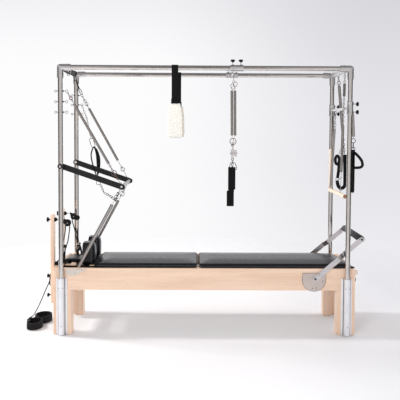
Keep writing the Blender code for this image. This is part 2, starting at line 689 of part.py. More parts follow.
def build_footbar(steel, grip_cover):
    pivot = Vector((FOOTBAR_PIVOT[0], 0, FOOTBAR_PIVOT[1]))
    turn = Matrix.Translation(pivot) @ Matrix.Rotation(-FOOTBAR_ANGLE, 4, "Y")
    half = FOOTBAR_ARM_THICK / 2
    width = FOOTBAR_ARM_WIDTH / 2

    def arm(sign):
        centre = [(0.0, FOOTBAR_OUTER_Y), (FOOTBAR_CRANK[0], FOOTBAR_OUTER_Y),
                  (FOOTBAR_CRANK[1], FOOTBAR_INNER_Y), (FOOTBAR_LENGTH, FOOTBAR_INNER_Y)]
        outer = [(along, sign * (y + half)) for along, y in centre]
        inner = [(along, sign * (y - half)) for along, y in reversed(centre)]
        bm = prism(outer + inner, "Z", -width, width)
        bm.transform(turn)
        return bm

    def boss(sign, along, y_low, y_high, radius, steps=12):
        bm = rod((along, sign * y_low, 0), (along, sign * y_high, 0), radius, steps)
        bm.transform(turn)
        return bm

    frame = place("footbar_frame", arm(-1), steel, origin=pivot)
    parts = [arm(1)]
    for sign in (-1, 1):
        parts.append(boss(sign, 0.0, FOOTBAR_OUTER_Y - half + 0.0001, FOOTBAR_OUTER_Y + half - 0.0001, width))
        parts.append(boss(sign, FOOTBAR_LENGTH, FOOTBAR_INNER_Y - half + 0.0001,
                          FOOTBAR_INNER_Y + half - 0.0001, width + 0.001))
        parts.append(boss(sign, 0.0, BED_HALF_WIDTH + 2 * GAP, FOOTBAR_OUTER_Y + 0.001, 0.006, 12))
        parts.append(boss(sign, 0.0, FOOTBAR_OUTER_Y, FOOTBAR_OUTER_Y + half + 0.006, 0.010, 6))
        parts.append(boss(sign, FOOTBAR_LENGTH, FOOTBAR_INNER_Y, FOOTBAR_INNER_Y + half + 0.005, 0.013, 12))
    parts.append(boss(1, FOOTBAR_LENGTH, -FOOTBAR_INNER_Y, FOOTBAR_INNER_Y, 0.014))
    parts.append(boss(-1, 0.046, FOOTBAR_OUTER_Y, FOOTBAR_OUTER_Y + half + 0.012, 0.008, 10))
    combine(frame, parts, "UNION")

    start = turn @ Vector((FOOTBAR_LENGTH, -0.300, 0))
    end = turn @ Vector((FOOTBAR_LENGTH, 0.300, 0))
    place("footbar_grip", pipe(start, end, GRIP_R, 0.0149, 14), grip_cover)


def build_risers(wood, black, rope):
    """Riser posts, pulleys and the ropes over them."""
    board = -BED_HALF_LENGTH - GAP
    for side, sign in SIDES:
        pulley_x = PULLEY_X[side]
        middle = sign * (RISER_Y[0] + RISER_Y[1]) / 2
        low_y, high_y = sorted((sign * RISER_Y[0], sign * RISER_Y[1]))
        riser = place(f"riser_{side}", box((RISER_X[0], low_y, RISER_Z[0]), (RISER_X[1], high_y, RISER_Z[1]), 0.003),
                      wood)
        tools = [box((RISER_X[1] - 0.004, low_y + 0.004, RAIL_BOTTOM + 0.010),
                     (board, high_y - 0.004, RAIL_TOP - 0.008))]
        upper, *lower = RISER_KNOB_Z
        for z in lower:
            knob = [(0.012, -0.0330), (0.0165, -0.0310), (0.0165, -0.0220), (0.004, -0.0180), (0.004, 0.006)]
            tools.append(turned(knob, (RISER_X[0], middle, z), (1, 0, 0), 7))
        shank = pulley_x - 0.039 - RISER_X[0]
        knob = [(0.012, -0.0335), (0.019, -0.0320), (0.019, -0.0200), (0.009, -0.0160), (0.005, -0.0140),
                (0.005, shank)]
        tools.append(turned(knob, (RISER_X[0], middle, upper), (1, 0, 0), 7))
        tools.append(turned([(0.011, 0.0), (0.017, 0.004), (0.017, 0.014), (0.008, 0.017)],
                            (RISER_X[1] - 0.001, middle, upper), (1, 0, 0), 7))
        cheek = arc((pulley_x, PULLEY_Z), CHEEK_R, 200, 465, 12)
        cheek += [(pulley_x - 0.039, upper + 0.009), (pulley_x - 0.039, upper - 0.009)]
        for offset in (-0.0095, 0.0095):
            middle_y = sign * PULLEY_Y + offset
            tools.append(prism(cheek, "Y", middle_y - 0.0015, middle_y + 0.0015))
        tools.append(box((pulley_x - 0.043, sign * PULLEY_Y - 0.0115, upper - 0.0085),
                         (pulley_x - 0.0345, sign * PULLEY_Y + 0.0115, upper + 0.0085)))
        tools.append(rod((pulley_x, sign * PULLEY_Y - 0.013, PULLEY_Z), (pulley_x, sign * PULLEY_Y + 0.013, PULLEY_Z),
                         0.004, 10))
        if side == "far":
            tools.append(rod((pulley_x + 0.029, PULLEY_Y + 0.0085, PULLEY_Z - 0.013),
                             (pulley_x + 0.029, PULLEY_Y + 0.0190, PULLEY_Z - 0.013), 0.022, 12))
        combine(riser, tools, "UNION")

        sheave = [(0.0043, -0.0070), (0.0080, -0.0070), (PULLEY_R, -0.0062), (GROOVE_R, -0.0022),
                  (GROOVE_R, 0.0022), (PULLEY_R, 0.0062), (0.0080, 0.0070), (0.0043, 0.0070)]
        centre = (pulley_x, sign * PULLEY_Y, PULLEY_Z)
        place(f"pulley_{side}", turned(sheave, centre, (0, 1, 0), 14, closed=True), black, origin=centre)

    wrap = GROOVE_R + ROPE_R + 0.0012
    for side, sign in SIDES:
        y = sign * PULLEY_Y
        before, after = ROPE_STATIONS[side]
        over = [(x, y, z) for x, z in arc((PULLEY_X[side], PULLEY_Z), wrap, 190, -10, 8)]
        route = smooth_route(before + over[:1], 0.030)[:-1] + over + smooth_route(over[-1:] + after, 0.030)[1:]
        tube_curve(f"rope_{side}", route, ROPE_R, rope)


def standing_band(centre, half_x, half_y):
    """A padded hand loop that stands on its edge on the floor."""
    path = [(centre[0] + half_x * x, centre[1] + half_y * y) for x, y in arc((0, 0), 1.0, 0, 360, 18)[:-1]]
    return loop_strap(path, 0.014, "Z", 0.0015, FLOOR_BAND_TOP)


def build_floor_rope(rope, webbing):
    """The rope hung over the near riser's lower knob, and its two padded loops on the floor."""
    tube_curve("floor_rope", smooth_route(FLOOR_ROPE_STATIONS, 0.028), ROPE_R, rope)
    loops = place("floor_loops", standing_band((-1.4160, -0.1330), 0.0570, 0.0930), webbing)
    combine(loops, [standing_band((-1.3860, 0.0560), 0.0650, 0.0900)], "UNION")


def clamp_knobs(centre, direction, across, spacing):
    """Two clamping knobs with shafts on a sliding sleeve."""
    profile = [(0.004, TUBE_R + 0.003), (0.004, 0.047), (0.017, 0.052), (0.017, 0.063), (0.012, 0.068)]
    across = Vector(across)
    return [turned(profile, Vector(centre) + across * offset, direction, 7) for offset in (-spacing, spacing)]


def sliding_bar(name, centre, axis, material):
    """A tube between two sleeves that slide on a pair of frame tubes."""
    bore = TUBE_R + GAP
    middle = Vector(centre)
    near = middle - Vector((0, POST_Y, 0))
    far = middle + Vector((0, POST_Y, 0))
    shell = [(COLLAR_R, -SLEEVE_HALF), (COLLAR_R, SLEEVE_HALF), (bore, SLEEVE_HALF), (bore, -SLEEVE_HALF)]
    bar = place(name, turned(shell, near, axis, ROUND, True), material)
    reach = Vector((0, POST_Y - (bore + COLLAR_R) / 2, 0))
    knob_side = (0, 0, 1) if axis[0] else (1, 0, 0)
    parts = [turned(shell, far, axis, ROUND, True), rod(middle - reach, middle + reach, CROSSBAR_R, 12)]
    for sleeve in (near, far):
        parts += clamp_knobs(sleeve, knob_side, axis, 0.032)
    combine(bar, parts, "UNION")
    return bar


def build_trapeze(steel, alloy, webbing, fleece):
    """The slider on the top tubes, its two springs and cuff, and the two padded loops."""
    sliding_bar("trapeze_slider", (SLIDER_X, 0, TOP_Z), (1, 0, 0), alloy)
    hang = TOP_Z - CROSSBAR_R - GAP - 0.0022
    left_x = SLIDER_X - 0.013
    right_x = SLIDER_X + 0.019
    middle_x = (left_x + right_x) / 2
    spring_wire("trapeze_springs",
                [(middle_x - 0.003, 0, hang), (left_x, 0, 2.050), ((left_x, 0, 1.990), (left_x, 0, 1.660), 3),
                 (left_x, 0, 1.640), (middle_x - 0.006, 0, 1.612), (middle_x + 0.006, 0, 1.612), (right_x, 0, 1.640),
                 ((right_x, 0, 1.660), (right_x, 0, 1.990), 3), (right_x, 0, 2.050), (middle_x + 0.005, 0, hang)],
                0.0088, 0.0020, steel)
    hook_x = SLIDER_X - 0.008
    cuff = place("trapeze_cuff", eye_ring((middle_x - 0.005, 0, 1.5770), (0, 1, 0), 0.028, 0.004, 12), steel)
    parts = [rod((middle_x - 0.005, 0, 1.553), (middle_x - 0.002, 0, 1.495), 0.0045, 8),
             box((middle_x - 0.030, -0.010, 1.425), (middle_x + 0.026, 0.010, 1.500), 0.004),
             rod((middle_x - 0.010, 0, 1.430), (hook_x, 0, 1.374), 0.0045, 8),
             eye_ring((hook_x, 0, 1.3550), (0, 1, 0), 0.019, 0.004),
             loop_strap(slot_path(0.0, 0.010, 1.165, 1.3310), 0.006, "X", SLIDER_X - 0.045, SLIDER_X + 0.016),
             box((SLIDER_X - 0.046, -0.0045, 1.1370), (SLIDER_X + 0.006, 0.0045, 1.1540)),
             loop_strap(slot_path(0.0, 0.010, 1.022, 1.1290), 0.006, "X", SLIDER_X - 0.056, SLIDER_X + 0.004)]
    combine(cuff, parts, "UNION")

    ring_r = TUBE_R + 0.0030
    for side, sign in SIDES:
        y = sign * POST_Y
        x = LOOP_X[side]
        path = arc((y, TOP_Z), ring_r, -55, 235, 16)
        path += [(y - 0.0045, 2.095), (y - 0.0045, 1.864)] + arc((y, 1.864), 0.0045, 180, 360, 4)[1:-1]
        path += [(y + 0.0045, 1.864), (y + 0.0045, 2.095)]
        loop = place(f"fleece_loop_{side}", loop_strap(path, 0.004, "X", x - 0.026, x + 0.026), webbing,
                     origin=(x, y, TOP_Z))
        band = loop_strap(slot_path(y, 0.017, 1.620, 1.842), 0.018, "X", x - 0.0570, x + 0.0570)
        sharp = [edge for edge in band.edges if edge.calc_face_angle(0) > math.radians(60)]
        bmesh.ops.bevel(band, geom=sharp, offset=0.005, segments=1, affect="EDGES", profile=0.5)
        combine(loop, [band], "UNION")


def build_right_end(steel, alloy, wood, webbing):
    """The crossbar that slides on the right posts, and all that hangs at that end."""
    sliding_bar("end_crossbar", (POST_X, 0, CROSSBAR_Z), (0, 0, 1), alloy)
    dowel = [(DOWEL_R - 0.002, -0.308), (DOWEL_R, -0.306), (DOWEL_R, 0.306), (DOWEL_R - 0.002, 0.308)]
    place("roll_down_bar", turned(dowel, (DOWEL_X, 0, DOWEL_Z), (0, 1, 0), 14), wood)
    dowel_top = DOWEL_Z + DOWEL_R + 0.0030

    top = (POST_X + CROSSBAR_R + 0.0030, 0.262, CROSSBAR_Z)
    end = (DOWEL_X + 0.001, 0.262, dowel_top)
    spring_wire("roll_spring_far", [top, (along(top, end, 0.22), along(top, end, 0.90), 4), end],
                0.0085, 0.0019, steel)

    top = (POST_X - TUBE_R - 0.0028, -0.255, TOP_Z - 0.004)
    end = (DOWEL_X, -0.140, dowel_top)
    spring_wire("end_spring_near",
                [top, (along(top, end, 0.11), along(top, end, 0.215), 2), along(top, end, 0.32),
                 (along(top, end, 0.43), along(top, end, 0.83), 3), end], 0.0080, 0.0019, steel)

    loop_x = 1.1760
    loop_y = -0.060
    top = (loop_x - 0.0030, 0.210, TOP_Z - 0.004)
    end = (1.1775, loop_y + 0.004, 1.4560)
    spring_wire("end_spring_far", [top, (along(top, end, 0.20), along(top, end, 0.74), 4), end],
                0.0080, 0.0019, steel)

    inner = place("hand_loop_inner", strap([(1.1790, 1.4520), (1.1835, 1.3600), (1.1850, 1.2200), (1.1800, 1.1900),
                                            (1.1680, 1.1760), (1.1540, 1.1730), (1.1390, 1.1780), (1.1260, 1.1980),
                                            (1.1180, 1.2350)], 0.019, "Y", loop_y - 0.013, loop_y + 0.013), webbing)
    padded = arc((1.1170, 1.4100), 0.0165, 200, 560, 16)[:-1]
    padded = [(x, 1.4100 + (z - 1.4100) * 2.2) for x, z in padded]
    parts = [eye_ring((1.1195, loop_y, 1.2480), (0, 1, 0), 0.0125, 0.0035),
             strap([(1.1210, 1.2570), (1.1290, 1.3200), (1.1330, 1.3800)], 0.013, "Y", loop_y - 0.011, loop_y + 0.011),
             loop_strap(padded, 0.014, "Y", loop_y - 0.012, loop_y + 0.012),
             rod((1.1230, loop_y, 1.4480), (1.1400, loop_y, 1.4930), 0.0030, 8)]
    combine(inner, parts, "UNION")

    swing = (1.1800, -POST_Y, CROSSBAR_Z - 0.032)
    outer_y = -0.3740
    top = (1.1800, -0.3565, CROSSBAR_Z - 0.0380)
    upper = (1.1700, outer_y, 1.7680)
    lower = (1.1730, outer_y, 1.6150)
    spring_wire("outer_spring", [top, (1.1750, outer_y, CROSSBAR_Z - 0.050), (upper, lower, 2),
                                 (1.1740, outer_y, 1.6010)], 0.0070, 0.0019, steel)
    middle_x = 1.1742
    outer = place("hand_loop_outer", box((middle_x - 0.0140, outer_y - 0.0040, 1.1650),
                                         (middle_x + 0.0140, outer_y + 0.0040, 1.5055), 0.0015),
                  webbing, origin=swing)
    triangle = [(1.1850, 1.4850), (1.2000, 1.4720), (1.2260, 1.4450), (1.2440, 1.4200), (1.2500, 1.3990),
                (1.2510, 1.3850), (1.2440, 1.3720), (1.2300, 1.3660), (1.2100, 1.3640), (1.1850, 1.3640),
                (1.1760, 1.3800), (1.1760, 1.4700)]
    parts = [eye_ring((middle_x, outer_y, 1.5780), (0, 1, 0), 0.017, 0.003),
             rod((middle_x, outer_y, 1.5630), (middle_x, outer_y, 1.5440), 0.0030, 8),
             eye_ring((middle_x, outer_y, 1.5330), (0, 1, 0), 0.012, 0.003),
             rod((middle_x, outer_y, 1.5230), (middle_x, outer_y, 1.5030), 0.0030, 8),
             loop_strap(triangle, 0.016, "Y", outer_y - 0.0042, outer_y + 0.0060)]
    combine(outer, parts, "UNION")

    handle = turned([(0.0150, 0.0), (0.0175, 0.003), (0.0175, 0.337), (0.0150, 0.340)], (1.139, 0.300, 1.1520),
                    (0, 0, 1), 16)
    handle = place("hung_handle", handle, wood)
    combine(handle, [rod((1.139, 0.300, 1.480), (1.1475, 0.300, CROSSBAR_Z - 0.0130), 0.0025, 8)], "UNION")


def build():
    clear_scene()
    wood = make_material("beech", (0.86, 0.68, 0.49), 0.45)
    steel = make_material("satin_steel", (0.62, 0.60, 0.58), 0.28, 1.0)
    alloy = make_material("bright_alloy", (0.82, 0.83, 0.85), 0.22, 1.0)
    vinyl = make_material("black_vinyl", (0.045, 0.045, 0.050), 0.38)
    black = make_material("black_plastic", (0.02, 0.02, 0.022), 0.45)
    rubber = make_material("wheel_rubber", (0.06, 0.06, 0.06), 0.6)
    webbing = make_material("black_webbing", (0.015, 0.015, 0.016), 0.8)
    rope = make_material("black_rope", (0.02, 0.02, 0.02), 0.8)
    fleece = make_material("cream_fleece", (0.90, 0.87, 0.80), 0.95)
    build_bed(wood, steel)
    build_posts(steel, alloy)
    build_carriage(black, vinyl, rubber)
    build_push_bar(black, steel)
    build_footbar(steel, vinyl)
    build_risers(wood, black, rope)
    build_floor_rope(rope, webbing)
    build_trapeze(steel, alloy, webbing, fleece)
    build_right_end(steel, alloy, wood, webbing)


build()
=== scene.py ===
import math

import bpy
from mathutils import Matrix, Vector, noise


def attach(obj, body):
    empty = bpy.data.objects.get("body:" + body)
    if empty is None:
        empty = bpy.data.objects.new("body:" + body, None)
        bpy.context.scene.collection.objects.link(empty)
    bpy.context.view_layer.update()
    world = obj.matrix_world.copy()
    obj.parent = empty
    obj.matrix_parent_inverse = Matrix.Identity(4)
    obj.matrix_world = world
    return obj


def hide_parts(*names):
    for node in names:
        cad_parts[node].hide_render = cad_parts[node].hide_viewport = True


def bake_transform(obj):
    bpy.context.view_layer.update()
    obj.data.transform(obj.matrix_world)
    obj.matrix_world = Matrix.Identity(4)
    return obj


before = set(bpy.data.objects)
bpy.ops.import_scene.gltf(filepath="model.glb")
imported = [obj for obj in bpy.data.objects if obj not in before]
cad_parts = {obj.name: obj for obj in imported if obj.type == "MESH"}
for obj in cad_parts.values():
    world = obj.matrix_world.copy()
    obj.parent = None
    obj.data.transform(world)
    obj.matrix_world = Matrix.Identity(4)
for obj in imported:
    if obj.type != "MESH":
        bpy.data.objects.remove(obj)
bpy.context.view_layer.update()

# Places and sizes on the object, in metres
POST_X = 1.15
POST_Y = 0.35
TUBE_R = 0.02
COLLAR_R = 0.0265
TOP_Z = 2.148
BED_HALF_WIDTH = 0.327
BED_HALF_LENGTH = 1.22
PAD_HALF_WIDTH = 0.302
PAD_TOP = 0.58
CARRIAGE_TOP = 0.5446
PUSH_PIVOT = (-1.15, 1.364)
PUSH_ANGLE = math.radians(-18.9)
PUSH_TUBE_AT = 0.508
PUSH_TUBE = Vector((PUSH_PIVOT[0] + PUSH_TUBE_AT * math.cos(PUSH_ANGLE), 0,
                    PUSH_PIVOT[1] + PUSH_TUBE_AT * math.sin(PUSH_ANGLE)))
FOOTBAR_PIVOT = Vector((0.894, 0, 0.461))
FOOTBAR_LENGTH = 0.493
FOOTBAR_ANGLE = math.radians(40.3)
RISER_X = (-1.262, -1.232)
RISER_Y = (0.17, 0.23)
RISER_Z = (0.228, 0.958)
KNOB_Z = (0.917, 0.452, 0.292)
PULLEY_X = {"near": -1.125, "far": -1.148}
PULLEY_Y = 0.2
PULLEY_Z = 0.89
WRAP_R = 0.0178
ROPE_R = 0.0042
SLIDER_X = 0.247
LOOP_X = {"near": -0.2425, "far": -0.234}
CROSSBAR_Z = 1.8375
CROSSBAR_R = 0.0125
DOWEL = Vector((1.13, 0, 1.127))
DOWEL_R = 0.0175
EYE_X = -1.099
EYE_Z = (1.96, 1.876, 1.793)
SIDES = (("near", -1), ("far", 1))
ENDS = (("left", -1), ("right", 1))
ALONG_X = (1, 0, 0)
ALONG_Y = (0, 1, 0)
ALONG_Z = (0, 0, 1)


# Finishes

def tone(code):
    """A written colour as the linear one that a shader takes."""
    parts = [int(code[i:i + 2], 16) / 255 for i in (0, 2, 4)]
    return tuple(p / 12.92 if p <= 0.04045 else ((p + 0.055) / 1.055) ** 2.4 for p in parts) + (1.0,)


def tinted(colour, gain, lift=0.0):
    """A linear colour made lighter or darker."""
    return tuple(min(1.0, c * gain + lift) for c in colour[:3]) + (1.0,)


def grey(value):
    return (value,) * 3 + (1.0,)


class Nodes:
    """Adds shader nodes to a tree and joins them."""

    def __init__(self, tree):
        self.tree = tree

    def put(self, target, value):
        if hasattr(value, "is_output"):
            self.tree.links.new(value, target)
        else:
            target.default_value = value

    def node(self, kind, output, inputs, **settings):
        """A node with its settings and inputs filled in, given by one of its outputs."""
        made = self.tree.nodes.new(f"ShaderNode{kind}")
        for name, value in settings.items():
            setattr(made, name, value)
        for name, value in inputs.items():
            self.put(made.inputs[name], value)
        return made.outputs[output]

    def span(self, value, low, high, to_low=0.0, to_high=1.0, eased=False):
        ends = {"Value": value, "From Min": low, "From Max": high, "To Min": to_low, "To Max": to_high}
        return self.node("MapRange", "Result", ends, interpolation_type="SMOOTHSTEP" if eased else "LINEAR")

    def math(self, kind, one, two=0.0):
        return self.node("Math", "Value", {0: one, 1: two}, operation=kind)

    def mix(self, share, one, two):
        return self.node("Mix", "Result", {"Factor": share, "A": one, "B": two}, data_type="RGBA")


class Finish(Nodes):
    """A material built from nodes over an object's own coordinates."""

    slot = None

    def __init__(self, name, roughness, metallic=0.0):
        self.material = bpy.data.materials.new(name)
        self.material.use_nodes = True
        super().__init__(self.material.node_tree)
        self.shader = self.tree.nodes["Principled BSDF"]
        self.set({"Roughness": roughness, "Metallic": metallic})
        self.place = self.node("TexCoord", "Object", {})

    def set(self, values):
        for name, value in values.items():
            self.put(self.shader.inputs[name], value)

    def stretched(self, scale):
        return self.node("Mapping", "Vector", {"Vector": self.place, "Scale": scale})

    def grain(self, vector, scale, detail=3.0, roughness=0.5):
        return self.node("TexNoise", "Fac", {"Vector": vector, "Scale": scale, "Detail": detail,
                                             "Roughness": roughness})

    def cells(self, vector, scale):
        return self.node("TexVoronoi", "Distance", {"Vector": vector, "Scale": scale})

    def axis(self, letter):
        return self.node("SeparateXYZ", letter, {"Vector": self.place})

    def toned(self, value, low, high, code, gain, lift=0.0):
        """One written colour that grows lighter or darker as a value rises."""
        return self.mix(self.span(value, low, high), tone(code), tinted(tone(code), gain, lift))

    def above(self, value, limit):
        return self.math("GREATER_THAN", value, limit)

    def reach(self, letter):
        """The distance from the middle plane across an axis."""
        return self.math("ABSOLUTE", self.axis(letter))

    def within(self, value, middle, half):
        """1 where a value lies near its middle, 0 elsewhere."""
        return self.math("LESS_THAN", self.math("ABSOLUTE", self.math("SUBTRACT", value, middle)), half)

    def painted(self, share, code, roughness, metallic=0.0):
        """Gives part of the object another colour and sheen, where share is 1."""
        for name, value in (("Base Color", tone(code)), ("Roughness", grey(roughness)),
                            ("Metallic", grey(metallic))):
            socket = self.shader.inputs[name]
            before = socket.links[0].from_socket if socket.is_linked else socket.default_value
            if isinstance(before, float):
                before = grey(before)
            self.put(socket, self.mix(share, before, value))

    def bump(self, height, strength, distance):
        self.set({"Normal": self.node("Bump", "Normal", {"Height": height, "Strength": strength,
                                                         "Distance": distance})})


def beech(name, along, light="EDD0B9", dark="DFBEA4"):
    """Lacquered light beech; along is the axis of its grain."""
    made = Finish(name, 0.42)
    broad = made.grain(made.stretched([0.9 if letter == along else 14.0 for letter in "XYZ"]), 1.6, 4.0, 0.6)
    fine = made.grain(made.stretched([0.1 if letter == along else 1.0 for letter in "XYZ"]), 420.0, 2.0, 0.6)
    base = made.mix(made.span(broad, 0.35, 0.68), tone(light), tone(dark))
    flecks = made.span(fine, 0.56, 0.7, 0.0, 0.42)
    made.set({"Base Color": made.mix(flecks, base, tone("C39C7E")),
              "Roughness": made.span(fine, 0.3, 0.8, 0.38, 0.5)})
    made.bump(fine, 0.1, 0.0004)
    return made


def metal(name, code, roughness, stroke=(1.0, 1.0, 0.02), scale=900.0):
    """Brushed or cast metal whose strokes run along the shortened axis."""
    made = Finish(name, roughness, 1.0)
    strokes = made.grain(made.stretched(stroke), scale, 2.0)
    smears = made.grain(made.place, 14.0, 3.0)
    made.set({"Base Color": made.toned(smears, 0.35, 0.75, code, 0.9),
              "Roughness": made.span(strokes, 0.25, 0.75, roughness - 0.05, roughness + 0.09)})
    made.bump(strokes, 0.006, 0.0003)
    return made


def vinyl(name, code, roughness):
    """Upholstery vinyl with a fine leather grain."""
    made = Finish(name, roughness)
    pebbles = made.cells(made.place, 620.0)
    creases = made.grain(made.place, 55.0, 5.0, 0.6)
    made.set({"Base Color": made.toned(creases, 0.35, 0.75, code, 1.7, 0.004),
              "Roughness": made.span(creases, 0.3, 0.7, roughness - 0.04, roughness + 0.06),
              "Specular IOR Level": 0.24})
    made.bump(pebbles, 0.12, 0.0005)
    return made


def plastic(name, code, roughness, scale=700.0):
    """Moulded or powder-coated black with a fine texture."""
    made = Finish(name, roughness)
    speckle = made.grain(made.place, scale, 2.0)
    made.set({"Base Color": made.toned(speckle, 0.4, 0.7, code, 1.5, 0.006),
              "Roughness": made.span(speckle, 0.3, 0.7, roughness - 0.05, roughness + 0.08),
              "Specular IOR Level": 0.22})
    made.bump(speckle, 0.12, 0.0004)
    return made


def webbing(name, code, ribs):
    """Woven strap: ribs across it and yarns along it."""
    made = Finish(name, 0.78)
    rows = made.node("TexWave", "Fac", {"Vector": made.place, "Scale": 120.0}, bands_direction=ribs)
    yarns = made.grain(made.place, 900.0, 2.0)
    height = made.math("ADD", rows, made.math("MULTIPLY", yarns, 0.6))
    made.set({"Base Color": made.toned(height, 0.4, 1.4, code, 1.9, 0.005),
              "Specular IOR Level": 0.15})
    made.bump(height, 0.5, 0.0006)
    return made


def fleece_finish(name, low, high):
    """Curled pile with soft tufts."""
    made = Finish(name, 0.95)
    height = made.math("ADD", made.cells(made.place, 210.0), made.grain(made.place, 420.0, 4.0, 0.7))
    made.set({"Base Color": made.mix(made.span(height, 0.5, 1.3), tone(low), tone(high)),
              "Sheen Weight": 0.5, "Sheen Roughness": 0.6})
    made.bump(height, 0.8, 0.0022)
    return made


def rope_finish():
    """Braided black cord."""
    made = Finish("braided_rope", 0.8)
    strands = made.cells(made.stretched((1.0, 1.0, 0.55)), 520.0)
    made.set({"Base Color": made.mix(made.span(strands, 0.1, 0.7), tone("1C1C1D"), tone("0B0B0C")),
              "Specular IOR Level": 0.15})
    made.bump(strands, 0.6, 0.001)
    return made


def rail_finish():
    """Beech with the head-end plates and the running track in metal."""
    made = beech("beech_rail", "X")
    plate = made.above(made.reach("Y"), BED_HALF_WIDTH + 0.0006)
    track = made.math("LESS_THAN", made.reach("Y"), BED_HALF_WIDTH - 0.033)
    made.painted(made.math("MAXIMUM", plate, track), "D9CFC6", 0.36, 0.7)
    return made


def board_finish():
    """Beech whose bumper and knob keep their own colours."""
    made = beech("beech_board", "Y")
    outside = made.above(made.axis("X"), BED_HALF_LENGTH + 0.0004)
    made.painted(outside, "E4DCD2", 0.5)
    low = made.math("LESS_THAN", made.axis("Z"), 0.47)
    made.painted(made.math("MULTIPLY", outside, low), "161617", 0.42)
    return made


def dowel_finish():
    """Light turned wood with brown end grain and a plugged centre."""
    made = beech("beech_dowel", "Y", "E2D1BE", "D4BDA4")
    ends = made.above(made.reach("Y"), 0.3072)
    made.painted(ends, "A87C62", 0.6)
    centre = made.math("MULTIPLY", made.within(made.axis("X"), DOWEL.x, 0.0035),
                       made.within(made.axis("Z"), DOWEL.z, 0.0035))
    made.painted(made.math("MULTIPLY", ends, centre), "3B2A22", 0.6)
    return made


def handle_finish():
    """Light turned wood, with painted shade down its +X side."""
    made = beech("beech_handle", "Z", "E4D3C0", "D6BFA6")
    # Painted shade: the side facing +X, away from the key lamp, is coloured dark brown.
    made.painted(made.above(made.axis("X"), 1.1505), "6E4B3A", 0.5)
    return made


def socket_finish():
    """Cast alloy, with painted shade in the groove on both sides of the round."""
    made = metal("bright_socket", "ECECF0", 0.34, (1.0, 1.0, 0.05), 500.0)
    made.set({"Metallic": 0.45})
    off_post = made.math("SUBTRACT", made.reach("X"), POST_X)
    # Painted shade: a dark band along the groove where the round meets the flange.
    made.painted(made.within(made.math("ABSOLUTE", off_post), 0.0272, 0.003), "55545A", 0.6)
    return made


def sleeved_finish():
    """The head end's cross tube, in foam where its sleeves are."""
    made = metal("sleeved_tube", "D6D3D4", 0.24, (1.0, 0.02, 1.0))
    far = made.within(made.axis("Y"), 0.122, 0.094)
    near = made.within(made.axis("Y"), -0.1775, 0.0595)
    collar = made.within(made.axis("Y"), -0.045, 0.0155)
    made.painted(made.math("MAXIMUM", made.math("MAXIMUM", far, near), collar), "1B1B1C", 0.8)
    return made


def post_finish():
    """Satin steel with a black boss under the push bar's pivot."""
    made = metal("satin_steel_post", "D3CFCC", 0.12)
    near = made.within(made.axis("Z"), PUSH_PIVOT[1], 0.03)
    made.painted(made.math("MULTIPLY", made.above(made.reach("Y"), 0.3705), near), "1E1E20", 0.45)
    return made


def push_bar_finish():
    """Black arms joined by a steel tube."""
    made = plastic("black_arm", "19191B", 0.48, 380.0)
    made.painted(made.math("LESS_THAN", made.reach("Y"), 0.3138), "C6C1BE", 0.24, 1.0)
    return made


def wheel_finish():
    """Rubber wheels on a steel axle."""
    made = plastic("rubber", "1A1A1A", 0.7)
    made.painted(made.math("LESS_THAN", made.reach("Y"), 0.26), "B9B4B1", 0.3, 1.0)
    return made


EVEN = (1.0, 1.0, 1.0)
COARSE = (0.3, 0.3, 0.3)
WOOD = {axis: beech(f"beech_{axis.lower()}", axis) for axis in "XYZ"}
DOWEL_WOOD = dowel_finish()
HANDLE_WOOD = handle_finish()
STEEL = metal("satin_steel", "D3CFCC", 0.12)
STEEL_X = metal("satin_steel_long", "D3CFCC", 0.12, (0.02, 1.0, 1.0))
WIRE = metal("spring_steel", "A8A29E", 0.3, EVEN)
WIRE_PALE = metal("spring_steel_pale", "B9B4B1", 0.32, EVEN)
LINK = metal("plated_link", "655E5A", 0.24, EVEN)
WARM = metal("warm_ring", "8C6E60", 0.28, EVEN)
SILVER = metal("silver_arm", "DCD8DA", 0.34, COARSE, 600.0)
PLATE = metal("silver_plate", "D8CCC6", 0.36, COARSE, 600.0)
FITTING = metal("bright_fitting", "D2D0D1", 0.32, (1.0, 1.0, 0.05), 500.0)
BRIGHT = metal("bright_small", "E4E1E0", 0.22, EVEN)
VINYL = vinyl("black_vinyl", "17171A", 0.23)
VINYL_DARK = vinyl("black_vinyl_seam", "111113", 0.5)
# Grey vinyl for the rests' front piping: a painted highlight along the rim.
VINYL_PAINTED_HIGHLIGHT = vinyl("black_vinyl_piping_painted_highlight", "4A4A4E", 0.35)
GRIP = vinyl("black_grip", "151517", 0.42)
BLACK = plastic("black_plastic", "0C0C0D", 0.42)
DARK = plastic("dark_screw", "3A3A3E", 0.35)
WEB_Z = webbing("webbing_z", "0B0B0C", "Z")
WEB_X = webbing("webbing_x", "0B0B0C", "X")
BAND = webbing("webbing_band", "151517", "Z")
BAND_EDGE = webbing("webbing_edge", "3E3E41", "X")
# The far fleece is a greyer copy of the near one: painted shade, as it hangs behind it.
FLEECE = {"near": fleece_finish("fleece", "DDD9CF", "F3EFE7"),
          "far": fleece_finish("fleece_far_painted_shade", "C2BAAE", "DBD3C7")}
ROPE = rope_finish()
for slot, finishes in (("beech", [*WOOD.values(), DOWEL_WOOD, HANDLE_WOOD]),
                       ("satin_steel", [WIRE, WIRE_PALE, LINK, WARM, SILVER]),
                       ("bright_alloy", [FITTING, BRIGHT]),
                       ("black_vinyl", [VINYL, VINYL_DARK, VINYL_PAINTED_HIGHLIGHT, GRIP]),
                       ("black_plastic", [BLACK, DARK]),
                       ("black_webbing", [WEB_Z, WEB_X, BAND, BAND_EDGE]),
                       ("cream_fleece", FLEECE.values()), ("black_rope", [ROPE])):
    for finish in finishes:
        finish.slot = slot


# Forms: each is a list of points and a list of faces

def joined(forms):
    """Several forms as one."""
    points, faces = [], []
    for more_points, more_faces in forms:
        base = len(points)
        points += [tuple(p) for p in more_points]
        faces += [tuple(base + i for i in face) for face in more_faces]
    return points, faces


